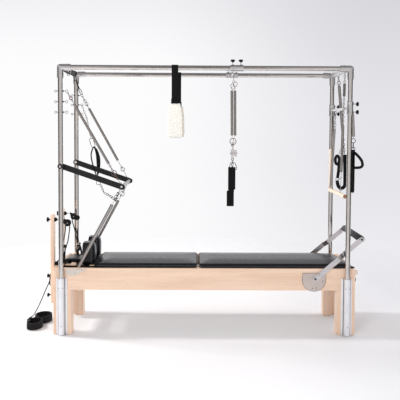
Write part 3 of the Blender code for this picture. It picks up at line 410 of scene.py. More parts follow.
def piece(name, forms, finish, body=None, sharp=40.0, replaces=()):
    """Makes an object of one or more forms, with its finish, and lets it ride on a body."""
    points, faces = joined(forms if isinstance(forms, list) else [forms])
    mesh = bpy.data.meshes.new(name)
    mesh.from_pydata(points, [], faces)
    mesh.polygons.foreach_set("use_smooth", [True] * len(mesh.polygons))
    mesh.set_sharp_from_angle(angle=math.radians(sharp))
    mesh.materials.append(finish.material)
    obj = bpy.data.objects.new(name, mesh)
    bpy.context.scene.collection.objects.link(obj)
    if body:
        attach(obj, body)
    if replaces:
        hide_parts(*replaces)
    return obj


def stacked(rings, closed=False):
    """Skins rings with the same number of points; an open stack gets flat ends."""
    size, count = len(rings[0]), len(rings)
    faces = []
    for i in range(count if closed else count - 1):
        j = (i + 1) % count
        for k in range(size):
            m = (k + 1) % size
            faces.append((i * size + k, i * size + m, j * size + m, j * size + k))
    if not closed:
        faces.append(tuple(range(size))[::-1])
        faces.append(tuple(range((count - 1) * size, count * size)))
    return [p for row in rings for p in row], faces


def circle(radius, sides=8):
    return [(radius * math.cos(2 * math.pi * k / sides), radius * math.sin(2 * math.pi * k / sides))
            for k in range(sides)]


def flat(width, thick):
    """A strap's section with eased edges."""
    w, t = width / 2, thick / 2
    c = min(w, t) * 0.55
    half = [(w - c, t), (-w + c, t), (-w, t - c), (-w, -t + c)]
    return half + [(-a, -b) for a, b in half]


def stuffed(half_width, half_thick, sides, width_power, thick_power):
    """A padded section, fuller than an ellipse."""
    return [(half_width * math.copysign(abs(c) ** width_power, c),
             half_thick * math.copysign(abs(s) ** thick_power, s)) for c, s in circle(1.0, sides)]


def sweep(points, section, closed=False, across=None):
    """Carries a flat section along a line. across keeps the section's first axis one way."""
    points = [Vector(p) for p in points]
    count = len(points)
    rings = []
    side = None
    for i, point in enumerate(points):
        before = points[i - 1] if closed or i else point
        after = points[(i + 1) % count] if closed or i < count - 1 else point
        tangent = (after - before).normalized()
        if across is not None:
            side = Vector(across)
        elif side is None:
            side = tangent.orthogonal()
        side = (side - tangent * side.dot(tangent)).normalized()
        other = tangent.cross(side)
        shape = section(i / max(1, count - 1)) if callable(section) else section
        rings.append([point + side * a + other * b for a, b in shape])
    return stacked(rings, closed)


def wired(points, radius, closed=False, across=None):
    """A thin wire or piping along a line."""
    return sweep(points, circle(radius, 6), closed, across)


def rod(start, end, radius, sides=12):
    return sweep([start, end], circle(radius, sides))


def frame_of(direction):
    axis = Vector(direction).normalized()
    side = axis.orthogonal().normalized()
    if abs(axis.z) < 0.9:
        side = Vector((0, 0, 1)).cross(axis).normalized()
    return axis, side, axis.cross(side)


def lathe(profile, origin, direction, steps=20, closed=False):
    """Turns (radius, height) pairs about an axis."""
    axis, side, other = frame_of(direction)
    return stacked([[Vector(origin) + axis * height + side * a + other * b for a, b in circle(radius, steps)]
                    for radius, height in profile], closed)


def ring(centre, direction, radius, wire, steps=20, sides=8):
    _, side, other = frame_of(direction)
    points = [Vector(centre) + side * a + other * b for a, b in circle(radius, steps)]
    return sweep(points, circle(wire, sides), True)


def link(centre, along, facing, length, width, wire, steps=8, sides=6):
    """An oval chain link; along is its long way and facing the way its flat side looks."""
    along, facing = Vector(along).normalized(), Vector(facing)
    facing = (facing - along * facing.dot(along)).normalized()
    points = []
    for end in (1, -1):
        for i in range(steps + 1):
            angle = math.pi * i / steps
            points.append(Vector(centre) + end * along * ((length - width) / 2 + width / 2 * math.sin(angle))
                          + end * facing.cross(along) * width / 2 * math.cos(angle))
    return sweep(points, circle(wire, sides), True)


def arc(centre, radius, first, last, steps):
    """Flat points along an arc, its angles in degrees."""
    angles = [math.radians(first + (last - first) * i / steps) for i in range(steps + 1)]
    return [(centre[0] + radius * math.cos(angle), centre[1] + radius * math.sin(angle)) for angle in angles]


def rounded_rectangle(half_a, half_b, radius, steps=8):
    points = []
    for a, b, start in ((1, 1, 0), (-1, 1, 90), (-1, -1, 180), (1, -1, 270)):
        points += arc((a * (half_a - radius), b * (half_b - radius)), radius, start, start + 90, steps)
    return points


def block(low, high, bevel=0.002):
    """A box whose edges are eased all round."""
    centre = [(a + b) / 2 for a, b in zip(low, high)]
    half = [(b - a) / 2 for a, b in zip(low, high)]
    rings = []
    for inset, z in ((bevel, -half[2]), (bevel * 0.3, -half[2] + bevel * 0.3), (0, -half[2] + bevel),
                     (0, half[2] - bevel), (bevel * 0.3, half[2] - bevel * 0.3), (bevel, half[2])):
        outline = rounded_rectangle(half[0] - inset, half[1] - inset, bevel, 3)
        rings.append([(centre[0] + a, centre[1] + b, centre[2] + z) for a, b in outline])
    return stacked(rings)


def between(start, end, share):
    return Vector(start).lerp(Vector(end), share)


def length_of(points):
    return sum((Vector(b) - Vector(a)).length for a, b in zip(points, points[1:]))


def spaced(points, steps):
    """Evenly spaced points along a line, both of its ends included."""
    lengths = [0.0]
    for one, two in zip(points, points[1:]):
        lengths.append(lengths[-1] + (two - one).length)
    even = []
    at = 1
    for k in range(steps + 1):
        target = lengths[-1] * k / steps
        while at < len(points) - 1 and lengths[at] < target:
            at += 1
        share = (target - lengths[at - 1]) / max(lengths[at] - lengths[at - 1], 1e-9)
        even.append(points[at - 1].lerp(points[at], share))
    return even


def even_ring(outline, count):
    """The same number of evenly spaced points on any closed outline, from its first point on."""
    return [tuple(p) for p in spaced([Vector(p) for p in (*outline, outline[0])], count)[:-1]]


def smooth_route(stations, spacing):
    """Evenly spaced points on a Catmull-Rom curve through a route's stations."""
    stations = [Vector(s) for s in stations]
    padded = [stations[0] * 2 - stations[1]] + stations + [stations[-1] * 2 - stations[-2]]
    fine = []
    for i in range(1, len(padded) - 2):
        a, b, c, d = padded[i - 1:i + 3]
        for k in range(24):
            t = k / 24
            fine.append(0.5 * (2 * b + (c - a) * t + (2 * a - 5 * b + 4 * c - d) * t * t
                               + (3 * b - a - 3 * c + d) * t ** 3))
    fine.append(stations[-1])
    return spaced(fine, max(2, round(length_of(fine) / spacing)))


def coil(start, end, radius, wire, slim=1.0):
    """The points of a close-wound spring, its ends drawn in to the axis. slim narrows it at its start."""
    start, end = Vector(start), Vector(end)
    _, side, other = frame_of(end - start)
    per_turn = 10
    steps = per_turn * max(3, round((end - start).length / (2 * wire * 1.05)))
    points = []
    for i in range(steps + 1):
        grown = min(1.0, 0.25 + i / per_turn, 0.25 + (steps - i) / per_turn)
        reach = radius * grown * (slim + (1 - slim) * i / steps)
        angle = 2 * math.pi * i / per_turn
        points.append(between(start, end, i / steps)
                      + reach * (side * math.cos(angle) + other * math.sin(angle)))
    return points


# Camera, lights and floor

def stage_floor():
    """A pale floor that fades out into the backdrop."""
    mesh = bpy.data.meshes.new("floor")
    half = 9.0
    corners = [(-half, -half, 0), (half, -half, 0), (half, half, 0), (-half, half, 0)]
    mesh.from_pydata(corners, [], [(0, 1, 2, 3)])
    floor = bpy.data.objects.new("floor", mesh)
    floor.location.z = -0.0005
    bpy.context.scene.collection.objects.link(floor)
    made = Finish("studio_floor", 0.9)
    cloud = made.grain(made.place, 0.7, 2.0)
    pale = made.mix(made.span(cloud, 0.3, 0.7), tone("F4F3F4"), tone("F8F7F8"))
    length = made.node("VectorMath", "Value", {0: made.place}, operation="LENGTH")
    # The floor turns greyer towards +X: painted shade, matching the backdrop's darker right side.
    made.set({"Specular IOR Level": 0.1,
              "Base Color": made.mix(made.span(made.axis("X"), 0.5, 1.9), pale, tone("E4E3E6")),
              "Alpha": made.span(length, 2.6, 4.6, 1.0, 0.0)})
    mesh.materials.append(made.material)


def studio_world():
    """A pale studio: the backdrop that shows, its likeness in metal, and a soft light for the rest."""
    world = bpy.data.worlds.new("studio")
    world.use_nodes = True
    bpy.context.scene.world = world
    world.node_tree.nodes.clear()
    sky = Nodes(world.node_tree)
    towards = sky.node("TexCoord", "Generated", {})
    way = {letter: sky.node("SeparateXYZ", letter, {"Vector": towards}) for letter in "XYZ"}

    def spread(value, low, high):
        return sky.span(value, low, high, eased=True)

    left = sky.mix(spread(way["Z"], 0.08, 0.26), tone("FDFDFE"), tone("EAEAEE"))
    right = sky.mix(spread(way["Z"], -0.27, -0.03), tone("F1F0F3"), tone("E5E4E9"))
    right = sky.mix(spread(way["Z"], 0.0, 0.22), right, tone("D7D7DC"))
    wall = sky.mix(spread(way["X"], -0.1, 0.28), left, right)
    shade = sky.mix(spread(way["Y"], 0.72, 0.42), wall, tone("383432"))
    shade = sky.mix(spread(way["Y"], -0.35, -0.58), shade, tone("E9E6E5"))
    patch = sky.math("MULTIPLY", *(spread(sky.math("ABSOLUTE", way[letter]), 0.17, 0.07) for letter in "XZ"))
    ahead = sky.math("MULTIPLY", patch, spread(way["Y"], -0.5, -0.8))
    shade = sky.mix(ahead, shade, tone("4F4A48"))
    shade = sky.mix(spread(way["Z"], 0.45, 0.8), shade, tone("8E8C8E"))
    soft = sky.mix(spread(way["Y"], -0.1, 0.45), (1.3, 1.3, 1.32, 1.0), (4.2, 4.2, 4.26, 1.0))
    soft = sky.mix(spread(way["Z"], 0.2, 0.62), soft, (0.4, 0.4, 0.41, 1.0))
    path = world.node_tree.nodes.new("ShaderNodeLightPath").outputs
    seen = sky.math("MAXIMUM", path["Is Camera Ray"], path["Is Transmission Ray"])
    shown = sky.mix(seen, sky.mix(path["Is Glossy Ray"], soft, shade), wall)
    surface = world.node_tree.nodes.new("ShaderNodeOutputWorld").inputs["Surface"]
    sky.put(surface, sky.node("Background", "Background", {"Color": shown}))


def softbox(name, place, target, size, power):
    lamp = bpy.data.lights.new(name, "AREA")
    lamp.size = size
    lamp.energy = power
    obj = bpy.data.objects.new(name, lamp)
    obj.location = place
    obj.rotation_euler = (Vector(target) - Vector(place)).to_track_quat("-Z", "Y").to_euler()
    obj.visible_glossy = False
    bpy.context.scene.collection.objects.link(obj)


def photo_camera():
    """The camera fitted to the photograph's edges; its numbers in pixels are the photograph's own."""
    yaw, pitch, roll = 0.0075, 0.0475, 0.005
    photo_size, focal_pixels, horizon_row = 400, 660.4, 160.34
    forward = Vector((math.sin(yaw) * math.cos(pitch), math.cos(yaw) * math.cos(pitch), -math.sin(pitch)))
    level = Vector((math.cos(yaw), -math.sin(yaw), 0))
    upright = level.cross(forward)
    right = math.cos(roll) * level + math.sin(roll) * upright
    up = -math.sin(roll) * level + math.cos(roll) * upright
    data = bpy.data.cameras.new("camera")
    data.sensor_width = 36.0
    data.lens = focal_pixels * data.sensor_width / photo_size
    data.shift_y = (horizon_row - photo_size / 2) / photo_size
    data.clip_end = 100.0
    camera = bpy.data.objects.new("camera", data)
    camera.matrix_world = Matrix((right, up, -forward)).transposed().to_4x4()
    camera.location = (-0.0804, -5.6053, 1.6661)
    bpy.context.scene.collection.objects.link(camera)
    bpy.context.scene.camera = camera


photo_camera()
studio_world()
stage_floor()
softbox("key_top", (-6.3, 0.9, 6.6), (0, 0, 0.3), 1.1, 370)
softbox("key_front", (-2.6, -6.6, 5.0), (0, 0, 0.8), 1.5, 150)
bpy.context.scene.view_settings.view_transform = "Standard"


# Finishes of the rigid nodes

def dress(finish, *nodes):
    """Gives nodes of the solid object their finish."""
    for node in nodes:
        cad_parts[node].material_slots[0].material = finish.material


def paired(name):
    """The names of a node on both sides of the bed."""
    return [f"{name}_{side}" for side, _ in SIDES]


def cornered(name):
    """The names of a node at all four posts."""
    return [f"{name}_{side}_{end}" for side, _ in SIDES for end, _ in ENDS]


dress(rail_finish(), *paired("rail"))
dress(PLATE, *paired("footbar_plate"))
dress(STEEL_X, *paired("top_tube"))
dress(BLACK, "carriage_frame", *paired("pulley"))
dress(WOOD["Z"], *cornered("leg"))
dress(socket_finish(), *cornered("post_socket"))
dress(post_finish(), "post_near_left", "post_far_left")
dress(STEEL, "post_near_right", "post_far_right")
dress(WOOD["Y"], "end_board_left")
dress(board_finish(), "end_board_right")
dress(sleeved_finish(), "top_end_left")
dress(FITTING, "top_end_right")
dress(wheel_finish(), "wheelset_head", "wheelset_foot")
dress(push_bar_finish(), "push_bar_frame")
dress(SILVER, "footbar_frame")
dress(DOWEL_WOOD, "roll_down_bar")


# Ropes

ROPE_STEP = 0.03
ROPE_STATIONS = {
    "near": ([(-1.2165, -0.2, 0.546), (-1.208, -0.2, 0.564), (-1.195, -0.2, 0.6), (-1.1825, -0.2, 0.645),
              (-1.166, -0.2, 0.7145), (-1.156, -0.2, 0.76), (-1.147, -0.2, 0.81), (-1.143, -0.2, 0.85)],
             [(-1.1085, -0.2, 0.85), (-1.113, -0.2, 0.81), (-1.1185, -0.2, 0.77), (-1.126, -0.2, 0.73),
              (-1.14, -0.2, 0.69), (-1.149, -0.2, 0.65), (-1.152, -0.198, 0.605), (-1.144, -0.195, 0.552)]),
    "far": ([(-1.115, 0.2, 0.552), (-1.116, 0.2, 0.6), (-1.1175, 0.2, 0.65), (-1.133, 0.2, 0.7371),
             (-1.148, 0.2, 0.8), (-1.162, 0.2, 0.85)],
            [(-1.135, 0.2, 0.85), (-1.135, 0.2, 0.8), (-1.1215, 0.2, 0.7371), (-1.102, 0.2, 0.656),
             (-1.089, 0.2, 0.605), (-1.0767, 0.2, 0.552)]),
}
FLOOR_ROPE_STATIONS = [
    (-1.2705, -0.213, 0.372), (-1.2708, -0.213, 0.415), (-1.271, -0.214, 0.454), (-1.271, -0.2, 0.467),
    (-1.271, -0.186, 0.454), (-1.274, -0.187, 0.42), (-1.29, -0.19, 0.375), (-1.3071, -0.2, 0.336),
    (-1.34, -0.185, 0.262), (-1.378, -0.16, 0.185), (-1.412, -0.14, 0.125), (-1.442, -0.134, 0.086),
    (-1.46, -0.133, 0.069), (-1.473, -0.133, 0.064),
]


def rope(name, points, node, sleeves):
    """A braided cord along its route; sleeves, the pieces on it, is not used."""
    obj = piece(name, sweep(points, circle(ROPE_R, 12)), ROPE, "frame", replaces=[node])


def sleeve_on(name, points, at, following, length):
    """The shrunk sleeve over a rope's sewn end."""
    grown, snug = ROPE_R + 0.0028, ROPE_R + 0.0004
    profile = [(snug, -0.004), (grown, 0.0), (grown, length), (snug, length + 0.006)]
    return piece(name, lathe(profile, points[at], points[following] - points[at], 14), BLACK, "frame")


for side, sign in SIDES:
    before, after = ROPE_STATIONS[side]
    over = [Vector((x, sign * PULLEY_Y, z)) for x, z in arc((PULLEY_X[side], PULLEY_Z), WRAP_R, 190, -10, 8)]
    route = smooth_route(before + over[:1], ROPE_STEP)[:-1] + over
    route += smooth_route(over[-1:] + after, ROPE_STEP)[1:]
    sleeves = [sleeve_on(f"rope_sleeve_{side}_{letter}", route, at, following, 0.03)
               for letter, at, following in (("a", 0, 2), ("b", -1, -3))]
    rope(f"pulley_rope_{side}", route, f"rope_{side}", sleeves)

floor_route = smooth_route(FLOOR_ROPE_STATIONS, 0.028)
rope("hung_rope", floor_route, "floor_rope", [sleeve_on("floor_rope_sleeve", floor_route, -1, -3, 0.032)])


# Gear at the rope ends

def strap(points, width, thick, across=ALONG_X, closed=False):
    """A band along a line, with its width kept one way."""
    return sweep(points, flat(width, thick), closed, across)


piece("rope_locks", [
    block((-1.159, -0.2075, 0.683), (-1.133, -0.1925, 0.708), 0.003),
    block((-1.123, 0.1915, 0.586), (-1.093, 0.2085, 0.639), 0.004),
    lathe([(0.004, -0.006), (0.006, -0.004), (0.006, 0.004), (0.004, 0.006)], (-1.089, 0.19, 0.652),
          ALONG_Y, 12),
    block((-1.236, -0.213, 0.5405), (-1.201, -0.187, 0.556), 0.003),
    strap([(-1.236, -0.2, 0.55), (-1.225, -0.2, 0.562), (-1.207, -0.2, 0.57)], 0.024, 0.01, ALONG_Y),
], BLACK, "frame")
piece("rope_clips", [
    link((-1.151, -0.2, 0.665), (0.25, 0, 1), ALONG_Y, 0.026, 0.013, 0.002, 6),
    link((-1.108, 0.189, 0.613), (0.15, 0, 1), ALONG_Y, 0.03, 0.01, 0.0018, 6),
    link((-1.111, 0.189, 0.648), (0.15, 0, 1), ALONG_Y, 0.02, 0.011, 0.0016, 6),
], BRIGHT, "frame")
TAILS = (([(-1.151, -0.2, 0.656), (-1.153, -0.199, 0.62), (-1.154, -0.198, 0.59), (-1.15, -0.196, 0.56),
           (-1.144, -0.195, 0.547)], 0.018),
         ([(-1.115, 0.2, 0.596), (-1.1155, 0.2, 0.57), (-1.115, 0.2, 0.548)], 0.024),
         ([(-1.098, 0.2, 0.638), (-1.088, 0.2, 0.605), (-1.0767, 0.2, 0.548)], 0.016))
piece("rope_tails", [strap(smooth_route(line, 0.008), width, 0.003) for line, width in TAILS], WEB_Z, "frame")


# Springs, chains and hooks

SPRING_WIRE = 0.0014


def chain(start, end, length=0.021, width=0.0115, wire=0.0016):
    """Oval links from one place to another, each turned a quarter from the last."""
    run = Vector(end) - Vector(start)
    count = max(1, round(run.length / (length - 2 * wire)))
    return joined([link(between(start, end, (i + 0.5) / count), run, (1, 0, 0.01) if i % 2 else (0, 1, 0.01),
                        run.length / count + 2 * wire, width, wire, 5) for i in range(count)])


def hook(start, end, radius, wire=0.002, turn=1):
    """A shank that ends in an open bow."""
    start, end = Vector(start), Vector(end)
    run = (end - start).normalized()
    side = Vector(ALONG_Y).cross(run).normalized() * turn
    neck = end - run * radius * 2.3
    bow = [end - run * radius + side * a + run * b for a, b in arc((0, 0), radius, 200, -25, 9)]
    return wired(smooth_route([start, start.lerp(neck, 0.5), neck] + bow, 0.003), wire)


def stretched(name, forms, finish, joint, start, end, **more):
    """A piece baked where it stands, whose forms reach from one body of a joint to the other; joint, start
    and end are not used.
    """
    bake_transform(piece(name, forms, finish, **more))


def spring(name, start, end, share, radius, node, holder, finish=WIRE, wire=SPRING_WIRE, slim=1.0):
    """A close-wound spring with straight ends, held by one body, or baked where it stands when its holder is
    a joint.
    """
    low, high = between(start, end, share[0]), between(start, end, share[1])
    forms = [wired([start] + coil(low, high, radius, wire, slim) + [end], wire),
             sweep([low, high], lambda along: circle((radius + 0.0007) * (slim + (1 - slim) * along), 16))]
    if isinstance(holder, str):
        piece(name, forms, finish, holder, 60.0, [node])
    else:
        stretched(name, forms, finish, holder, start, end, sharp=60.0, replaces=[node])


def places(start, end):
    """A function that gives a place between two others."""
    return lambda share: between(start, end, share)


PUSH_JOINT = ("frame", "push_bar")
EYE_GAP = 0.016
UPPER_COIL = {"near": (0.115, 0.77), "far": (0.138, 0.772)}
LOWER_COIL = {"near": (0.03, 0.805), "far": (0.03, 0.765)}
LOWER_RADIUS = {"near": 0.0128, "far": 0.0112}
LOWER_RING = {"near": 0.015, "far": 0.021}
# The near lower spring takes the paler steel and the far one the darker: painted highlight and painted shade
# on the same spring steel.
LOWER_WIRE_PAINTED_LIGHT = {"near": WIRE_PALE, "far": WIRE}
for side, sign in SIDES:
    top, end = Vector((EYE_X, sign * POST_Y, EYE_Z[0])), Vector((PUSH_TUBE.x, sign * 0.292, PUSH_TUBE.z))
    run = (end - top).normalized() * EYE_GAP
    start, stop = top + run, end - run
    at = places(top, end)
    spring(f"coil_upper_{side}", start, stop, UPPER_COIL[side], 0.0102, f"upper_spring_{side}",
           PUSH_JOINT, wire=0.0016)
    if side == "near":
        gear = [chain(at(0.012), at(0.06), 0.018, 0.012), chain(at(0.086), at(0.118), 0.018, 0.012),
                chain(at(0.77), at(0.836), 0.024, 0.014, 0.002),
                ring(at(0.858), (0.2, 1, 0), 0.02, 0.0032, 24, 6), hook(at(0.925), stop, 0.0095, 0.0022)]
        warm = [ring(at(0.074), (0, 1, 0.2), 0.012, 0.0032), chain(at(0.872), at(0.925), 0.02, 0.014, 0.0022)]
    else:
        gear = [chain(at(0.01), at(0.055), 0.018, 0.012), ring(at(0.068), (0, 1, 0.1), 0.013, 0.0022),
                ring(at(0.1), (0.3, 1, 0), 0.015, 0.0022), chain(at(0.108), at(0.14), 0.018, 0.012),
                hook(at(0.772), at(0.845), 0.008), hook(at(0.88), stop, 0.0095, 0.0022)]
        warm = [ring(at(0.866), (0, 1, 0.1), 0.016, 0.0028, 20, 6)]
    stretched(f"links_upper_{side}", gear, LINK, PUSH_JOINT, start, stop)
    stretched(f"rings_upper_{side}", warm, WARM, PUSH_JOINT, start, stop)

    anchor, top = Vector((-1.045, sign * 0.284, 0.497)), Vector((PUSH_TUBE.x, sign * 0.276, PUSH_TUBE.z))
    stop = top + (anchor - top).normalized() * EYE_GAP
    at = places(anchor, top)
    share = LOWER_COIL[side][1]
    spring(f"coil_lower_{side}", anchor, stop, LOWER_COIL[side], LOWER_RADIUS[side],
           f"lower_spring_{side}", PUSH_JOINT, LOWER_WIRE_PAINTED_LIGHT[side], 0.0015)
    gear = [hook(at(share), at(share + 0.06), 0.009),
            chain(at(share + 0.085), at(share + 0.15), 0.026, 0.015, 0.0021),
            ring(at(share + 0.072), (0.2, 1, 0), LOWER_RING[side], 0.0022, 24, 6),
            hook(at(share + 0.14), stop, 0.01, 0.0022)]
    stretched(f"links_lower_{side}", gear, LINK, PUSH_JOINT, anchor, stop)

piece("slack_chain", [
    ring((-0.855, -0.318, 1.231), (0, 1, 0.1), 0.0165, 0.0022, 24, 6),
    chain((-0.836, -0.318, 1.215), (-0.81, -0.318, 1.149), 0.02, 0.013, 0.002),
    hook((-0.808, -0.318, 1.156), (-0.796, -0.31, 1.139), 0.008),
    chain((-0.794, -0.308, 1.142), (-0.748, -0.29, 1.112), 0.024, 0.014, 0.0022),
    chain((-0.75, -0.29, 1.112), (-0.72, -0.278, 1.08), 0.026, 0.015, 0.0024),
    chain((-0.72, -0.278, 1.082), (-0.702, -0.276, 1.15), 0.026, 0.014, 0.0022),
], LINK, "push_bar")

# The safety strap's chain and its webbing loop
SAFETY_ENDS = ((-1.098, 0.346, 1.872), (-0.955, 0.318, 1.24))
stretched("safety_chain", [
    chain(SAFETY_ENDS[0], (-1.056, 0.343, 1.76), 0.026, 0.012),
    chain((-1.056, 0.343, 1.762), (-1.015, 0.333, 1.582), 0.026, 0.012),
    link((-1.003, 0.329, 1.536), (0.3, 0, -0.95), ALONG_Y, 0.086, 0.034, 0.0026),
], LINK, PUSH_JOINT, *SAFETY_ENDS, replaces=["safety_strap"])
narrow_strand = smooth_route([(-0.9925, 0.327, 1.5), (-1.003, 0.325, 1.475), (-1.013, 0.323, 1.43),
                              (-1.005, 0.32, 1.37), (-0.985, 0.319, 1.3), (-0.964, 0.311, 1.245)], 0.01)
wide_strand = smooth_route([(-0.99, 0.329, 1.505), (-0.97, 0.326, 1.475), (-0.953, 0.324, 1.42),
                            (-0.947, 0.321, 1.35), (-0.95, 0.326, 1.29), (-0.956, 0.327, 1.245)], 0.01)
stretched("safety_leaf", [
    strap(narrow_strand, 0.01, 0.016),
    sweep(wide_strand, lambda share: flat(0.007 + 0.029 * math.sin(math.pi * share) ** 0.7, 0.006),
          across=ALONG_X),
    strap([(-0.964, 0.3105, 1.244), (-0.962, 0.3105, 1.23), (-0.96, 0.318, 1.224), (-0.958, 0.3255, 1.23),
           (-0.957, 0.3265, 1.245)], 0.018, 0.003),
], WEB_Z, PUSH_JOINT, *SAFETY_ENDS)

piece("corner_strap", [
    ring((-POST_X, 0.24, TOP_Z), ALONG_Y, 0.0225, 0.003, 24, 6),
    link((-1.14, 0.245, TOP_Z - 0.04), (0.35, 0, -1), (0, 1, 0.1), 0.044, 0.017, 0.003),
    strap([(-1.133, 0.255, TOP_Z - 0.056), (-1.124, 0.275, TOP_Z - 0.095), (-1.115, 0.3, TOP_Z - 0.13)],
          0.012, 0.005),
    link((-1.106, 0.325, TOP_Z - 0.156), (0.35, 0.4, -1), (0, 1, 0.1), 0.056, 0.016, 0.003),
], BLACK, "frame")
piece("spare_ring", [
    ring((-1.112, -0.21, TOP_Z - 0.043), (0.5, 1, 0), 0.012, 0.002),
    hook((-1.148, -0.21, TOP_Z - 0.018), (-1.112, -0.21, TOP_Z - 0.04), 0.008),
], LINK, "frame")

# The spring pair over the middle of the bed
left_x, right_x = SLIDER_X - 0.019, SLIDER_X + 0.0073
middle_x = (left_x + right_x) / 2
pair = []
for x, inner in ((left_x, middle_x - 0.006), (right_x, middle_x + 0.006)):
    low, high = (x + 0.004, 0, 1.612), (x, 0, 1.992)
    line = [(inner, 0, 1.583), (inner * 0.4 + x * 0.6, 0, 1.598)] + coil(low, high, 0.0105, SPRING_WIRE)
    line += [(x, 0, 2.015), (x * 0.7 + middle_x * 0.3, 0, 2.03)]
    pair += [wired(line, SPRING_WIRE), rod(low, high, 0.0112, 16)]
piece("coil_pair", pair, WIRE, "hanger", 60.0, ["trapeze_springs"])
piece("trapeze_rings", [
    link((0.236, 0, 2.025), (-0.4, 0, 1), ALONG_Y, 0.046, 0.03, 0.0022),
    link((0.256, 0, 2.042), (0.5, 0, 1), (0, 1, 0.2), 0.044, 0.028, 0.0022),
    ring((0.241, 0, 1.562), ALONG_Y, 0.026, 0.003, 28),
    hook((0.244, 0, 1.586), (0.241, 0, 1.548), 0.01),
], WARM, "hanger")
piece("trapeze_links", [
    ring((0.243, 0, TOP_Z), ALONG_Y, CROSSBAR_R + 0.0028, 0.0022, 24, 6),
    hook((0.243, 0, TOP_Z - CROSSBAR_R - 0.0028), (0.243, 0, 2.056), 0.011, 0.0022),
    hook((0.24, 0, 1.5), (0.238, 0, 1.542), 0.01, 0.0022),
    hook((0.245, 0, 1.496), (0.235, 0, 1.53), 0.008, turn=-1),
    chain((0.236, 0, 1.424), (0.242, 0, 1.374), 0.028, 0.018, 0.0024),
    link((0.229, 0, 1.358), (0.2, 0, 1), (0, 1, 0.1), 0.052, 0.026, 0.0026),
    link((0.252, 0, 1.35), (-0.35, 0, 1), (0, 1, 0.1), 0.066, 0.034, 0.003),
], LINK, "hanger")
piece("trapeze_swivel", [
    block((0.223, -0.009, 1.424), (0.245, 0.009, 1.494), 0.004),
    block((0.247, -0.008, 1.428), (0.272, 0.008, 1.49), 0.004),
    rod((0.215, 0, 1.458), (0.279, 0, 1.462), 0.006),
    rod((0.24, 0, 1.41), (0.24, 0, 1.503), 0.005),
], BRIGHT, "hanger")


def slot_loop(middle, half_gap, low, high, steps=6):
    """Flat points round a long loop that stands on its end."""
    return arc((middle, high), half_gap, 0, 180, steps) + arc((middle, low), half_gap, 180, 360, steps)


def flat_loop(path, x, width, thick):
    """A band sewn into a loop round flat points."""
    return strap([(x, u, v) for u, v in path], width, thick, closed=True)


def stitches(x_low, x_high, y, heights, thick):
    """Raised seams across a band, one above another."""
    return [strap([(x_low, y, z), (x_high, y, z)], *thick, ALONG_Z) for z in heights]


piece("cuff", [
    flat_loop(slot_loop(0.0, 0.01, 1.165, 1.331), SLIDER_X - 0.0145, 0.061, 0.006),
    flat_loop(slot_loop(0.0, 0.01, 1.022, 1.129), SLIDER_X - 0.026, 0.06, 0.006),
    strap([(SLIDER_X - 0.02, -0.0145, 1.156), (SLIDER_X - 0.02, -0.0145, 1.132)], 0.05, 0.003),
    block((SLIDER_X - 0.045, -0.0045, 1.137), (SLIDER_X + 0.006, 0.0045, 1.154)),
    *stitches(SLIDER_X - 0.044, SLIDER_X + 0.004, -0.0134, (1.3, 1.19, 1.105, 1.045), (0.0012, 0.0012)),
], WEB_Z, "hanger", replaces=["trapeze_cuff"])


# The right end's springs and loops

CROSS_JOINT = ("frame", "crossbar")
dowel_top = DOWEL.z + DOWEL_R + 0.003
FAR_Y = 0.262
far_ends = (POST_X + CROSSBAR_R + 0.003, FAR_Y, CROSSBAR_Z), (DOWEL.x + 0.001, FAR_Y, dowel_top)
at = places(*far_ends)
spring("coil_roll_far", *far_ends, (0.245, 0.985), 0.0108, "roll_spring_far", "crossbar", WIRE_PALE)
piece("roll_far_links", [
    ring(at(0.19), (0, 1, 0.2), 0.012, 0.002),
    ring(at(0.228), (0.4, 1, 0), 0.0105, 0.002),
    chain(at(0.02), at(0.17), 0.026, 0.014, 0.0018),
], LINK, "crossbar")

near_ends = (DOWEL.x, -0.14, dowel_top), (POST_X - TUBE_R - 0.0028, -0.255, TOP_Z - 0.004)
at = places(*near_ends)
spring("coil_end_near", *near_ends, (0.17, 0.55), 0.0105, "end_spring_near", CROSS_JOINT[::-1])
stretched("end_near_links", [
    wired(coil(at(0.79), at(0.895), 0.0105, SPRING_WIRE), SPRING_WIRE),
    chain(at(0.895), at(0.985), 0.026, 0.015, 0.0018),
    chain(at(0.545), at(0.79), 0.021, 0.014, 0.002),
    hook(at(0.175), at(0.01), 0.011),
], WIRE, CROSS_JOINT[::-1], *near_ends)

over_ends = (1.173, 0.21, TOP_Z - 0.004), (1.1775, -0.056, 1.456)
at = places(*over_ends)
spring("coil_end_far", *over_ends, (0.145, 0.74), 0.0122, "end_spring_far", CROSS_JOINT, WIRE_PALE)
stretched("end_far_links", [
    chain(at(0.01), at(0.085), 0.022, 0.014, 0.002),
    ring(at(0.105), (0, 1, 0.2), 0.015, 0.0024, 24, 6),
    chain(at(0.12), at(0.15), 0.018, 0.012),
    chain(at(0.74), at(0.985), 0.026, 0.016, 0.0022),
], LINK, CROSS_JOINT, *over_ends)

INNER_Y = -0.06
long_strand = [(x, INNER_Y, z) for x, _, z in smooth_route(
    [(1.179, 0, 1.456), (1.1835, 0, 1.36), (1.185, 0, 1.22), (1.18, 0, 1.19), (1.168, 0, 1.176),
     (1.154, 0, 1.173), (1.139, 0, 1.178), (1.126, 0, 1.198), (1.118, 0, 1.235)], 0.01)]
short_strand = smooth_route([(1.121, INNER_Y, 1.257), (1.129, INNER_Y, 1.32), (1.133, INNER_Y, 1.38)], 0.012)
bow = [(x, INNER_Y, 1.41 + z * 2.2) for x, z in arc((1.117, 0.0), 0.0165, 200, 560, 28)[:-1]]
piece("inner_loop", [
    sweep(long_strand, lambda share: flat(0.026, 0.031 - 0.004 * share), across=ALONG_Y),
    strap(short_strand, 0.022, 0.024, ALONG_Y),
    strap(bow, 0.024, 0.022, ALONG_Y, True),
], WEB_Z, "crossbar", replaces=["hand_loop_inner"])
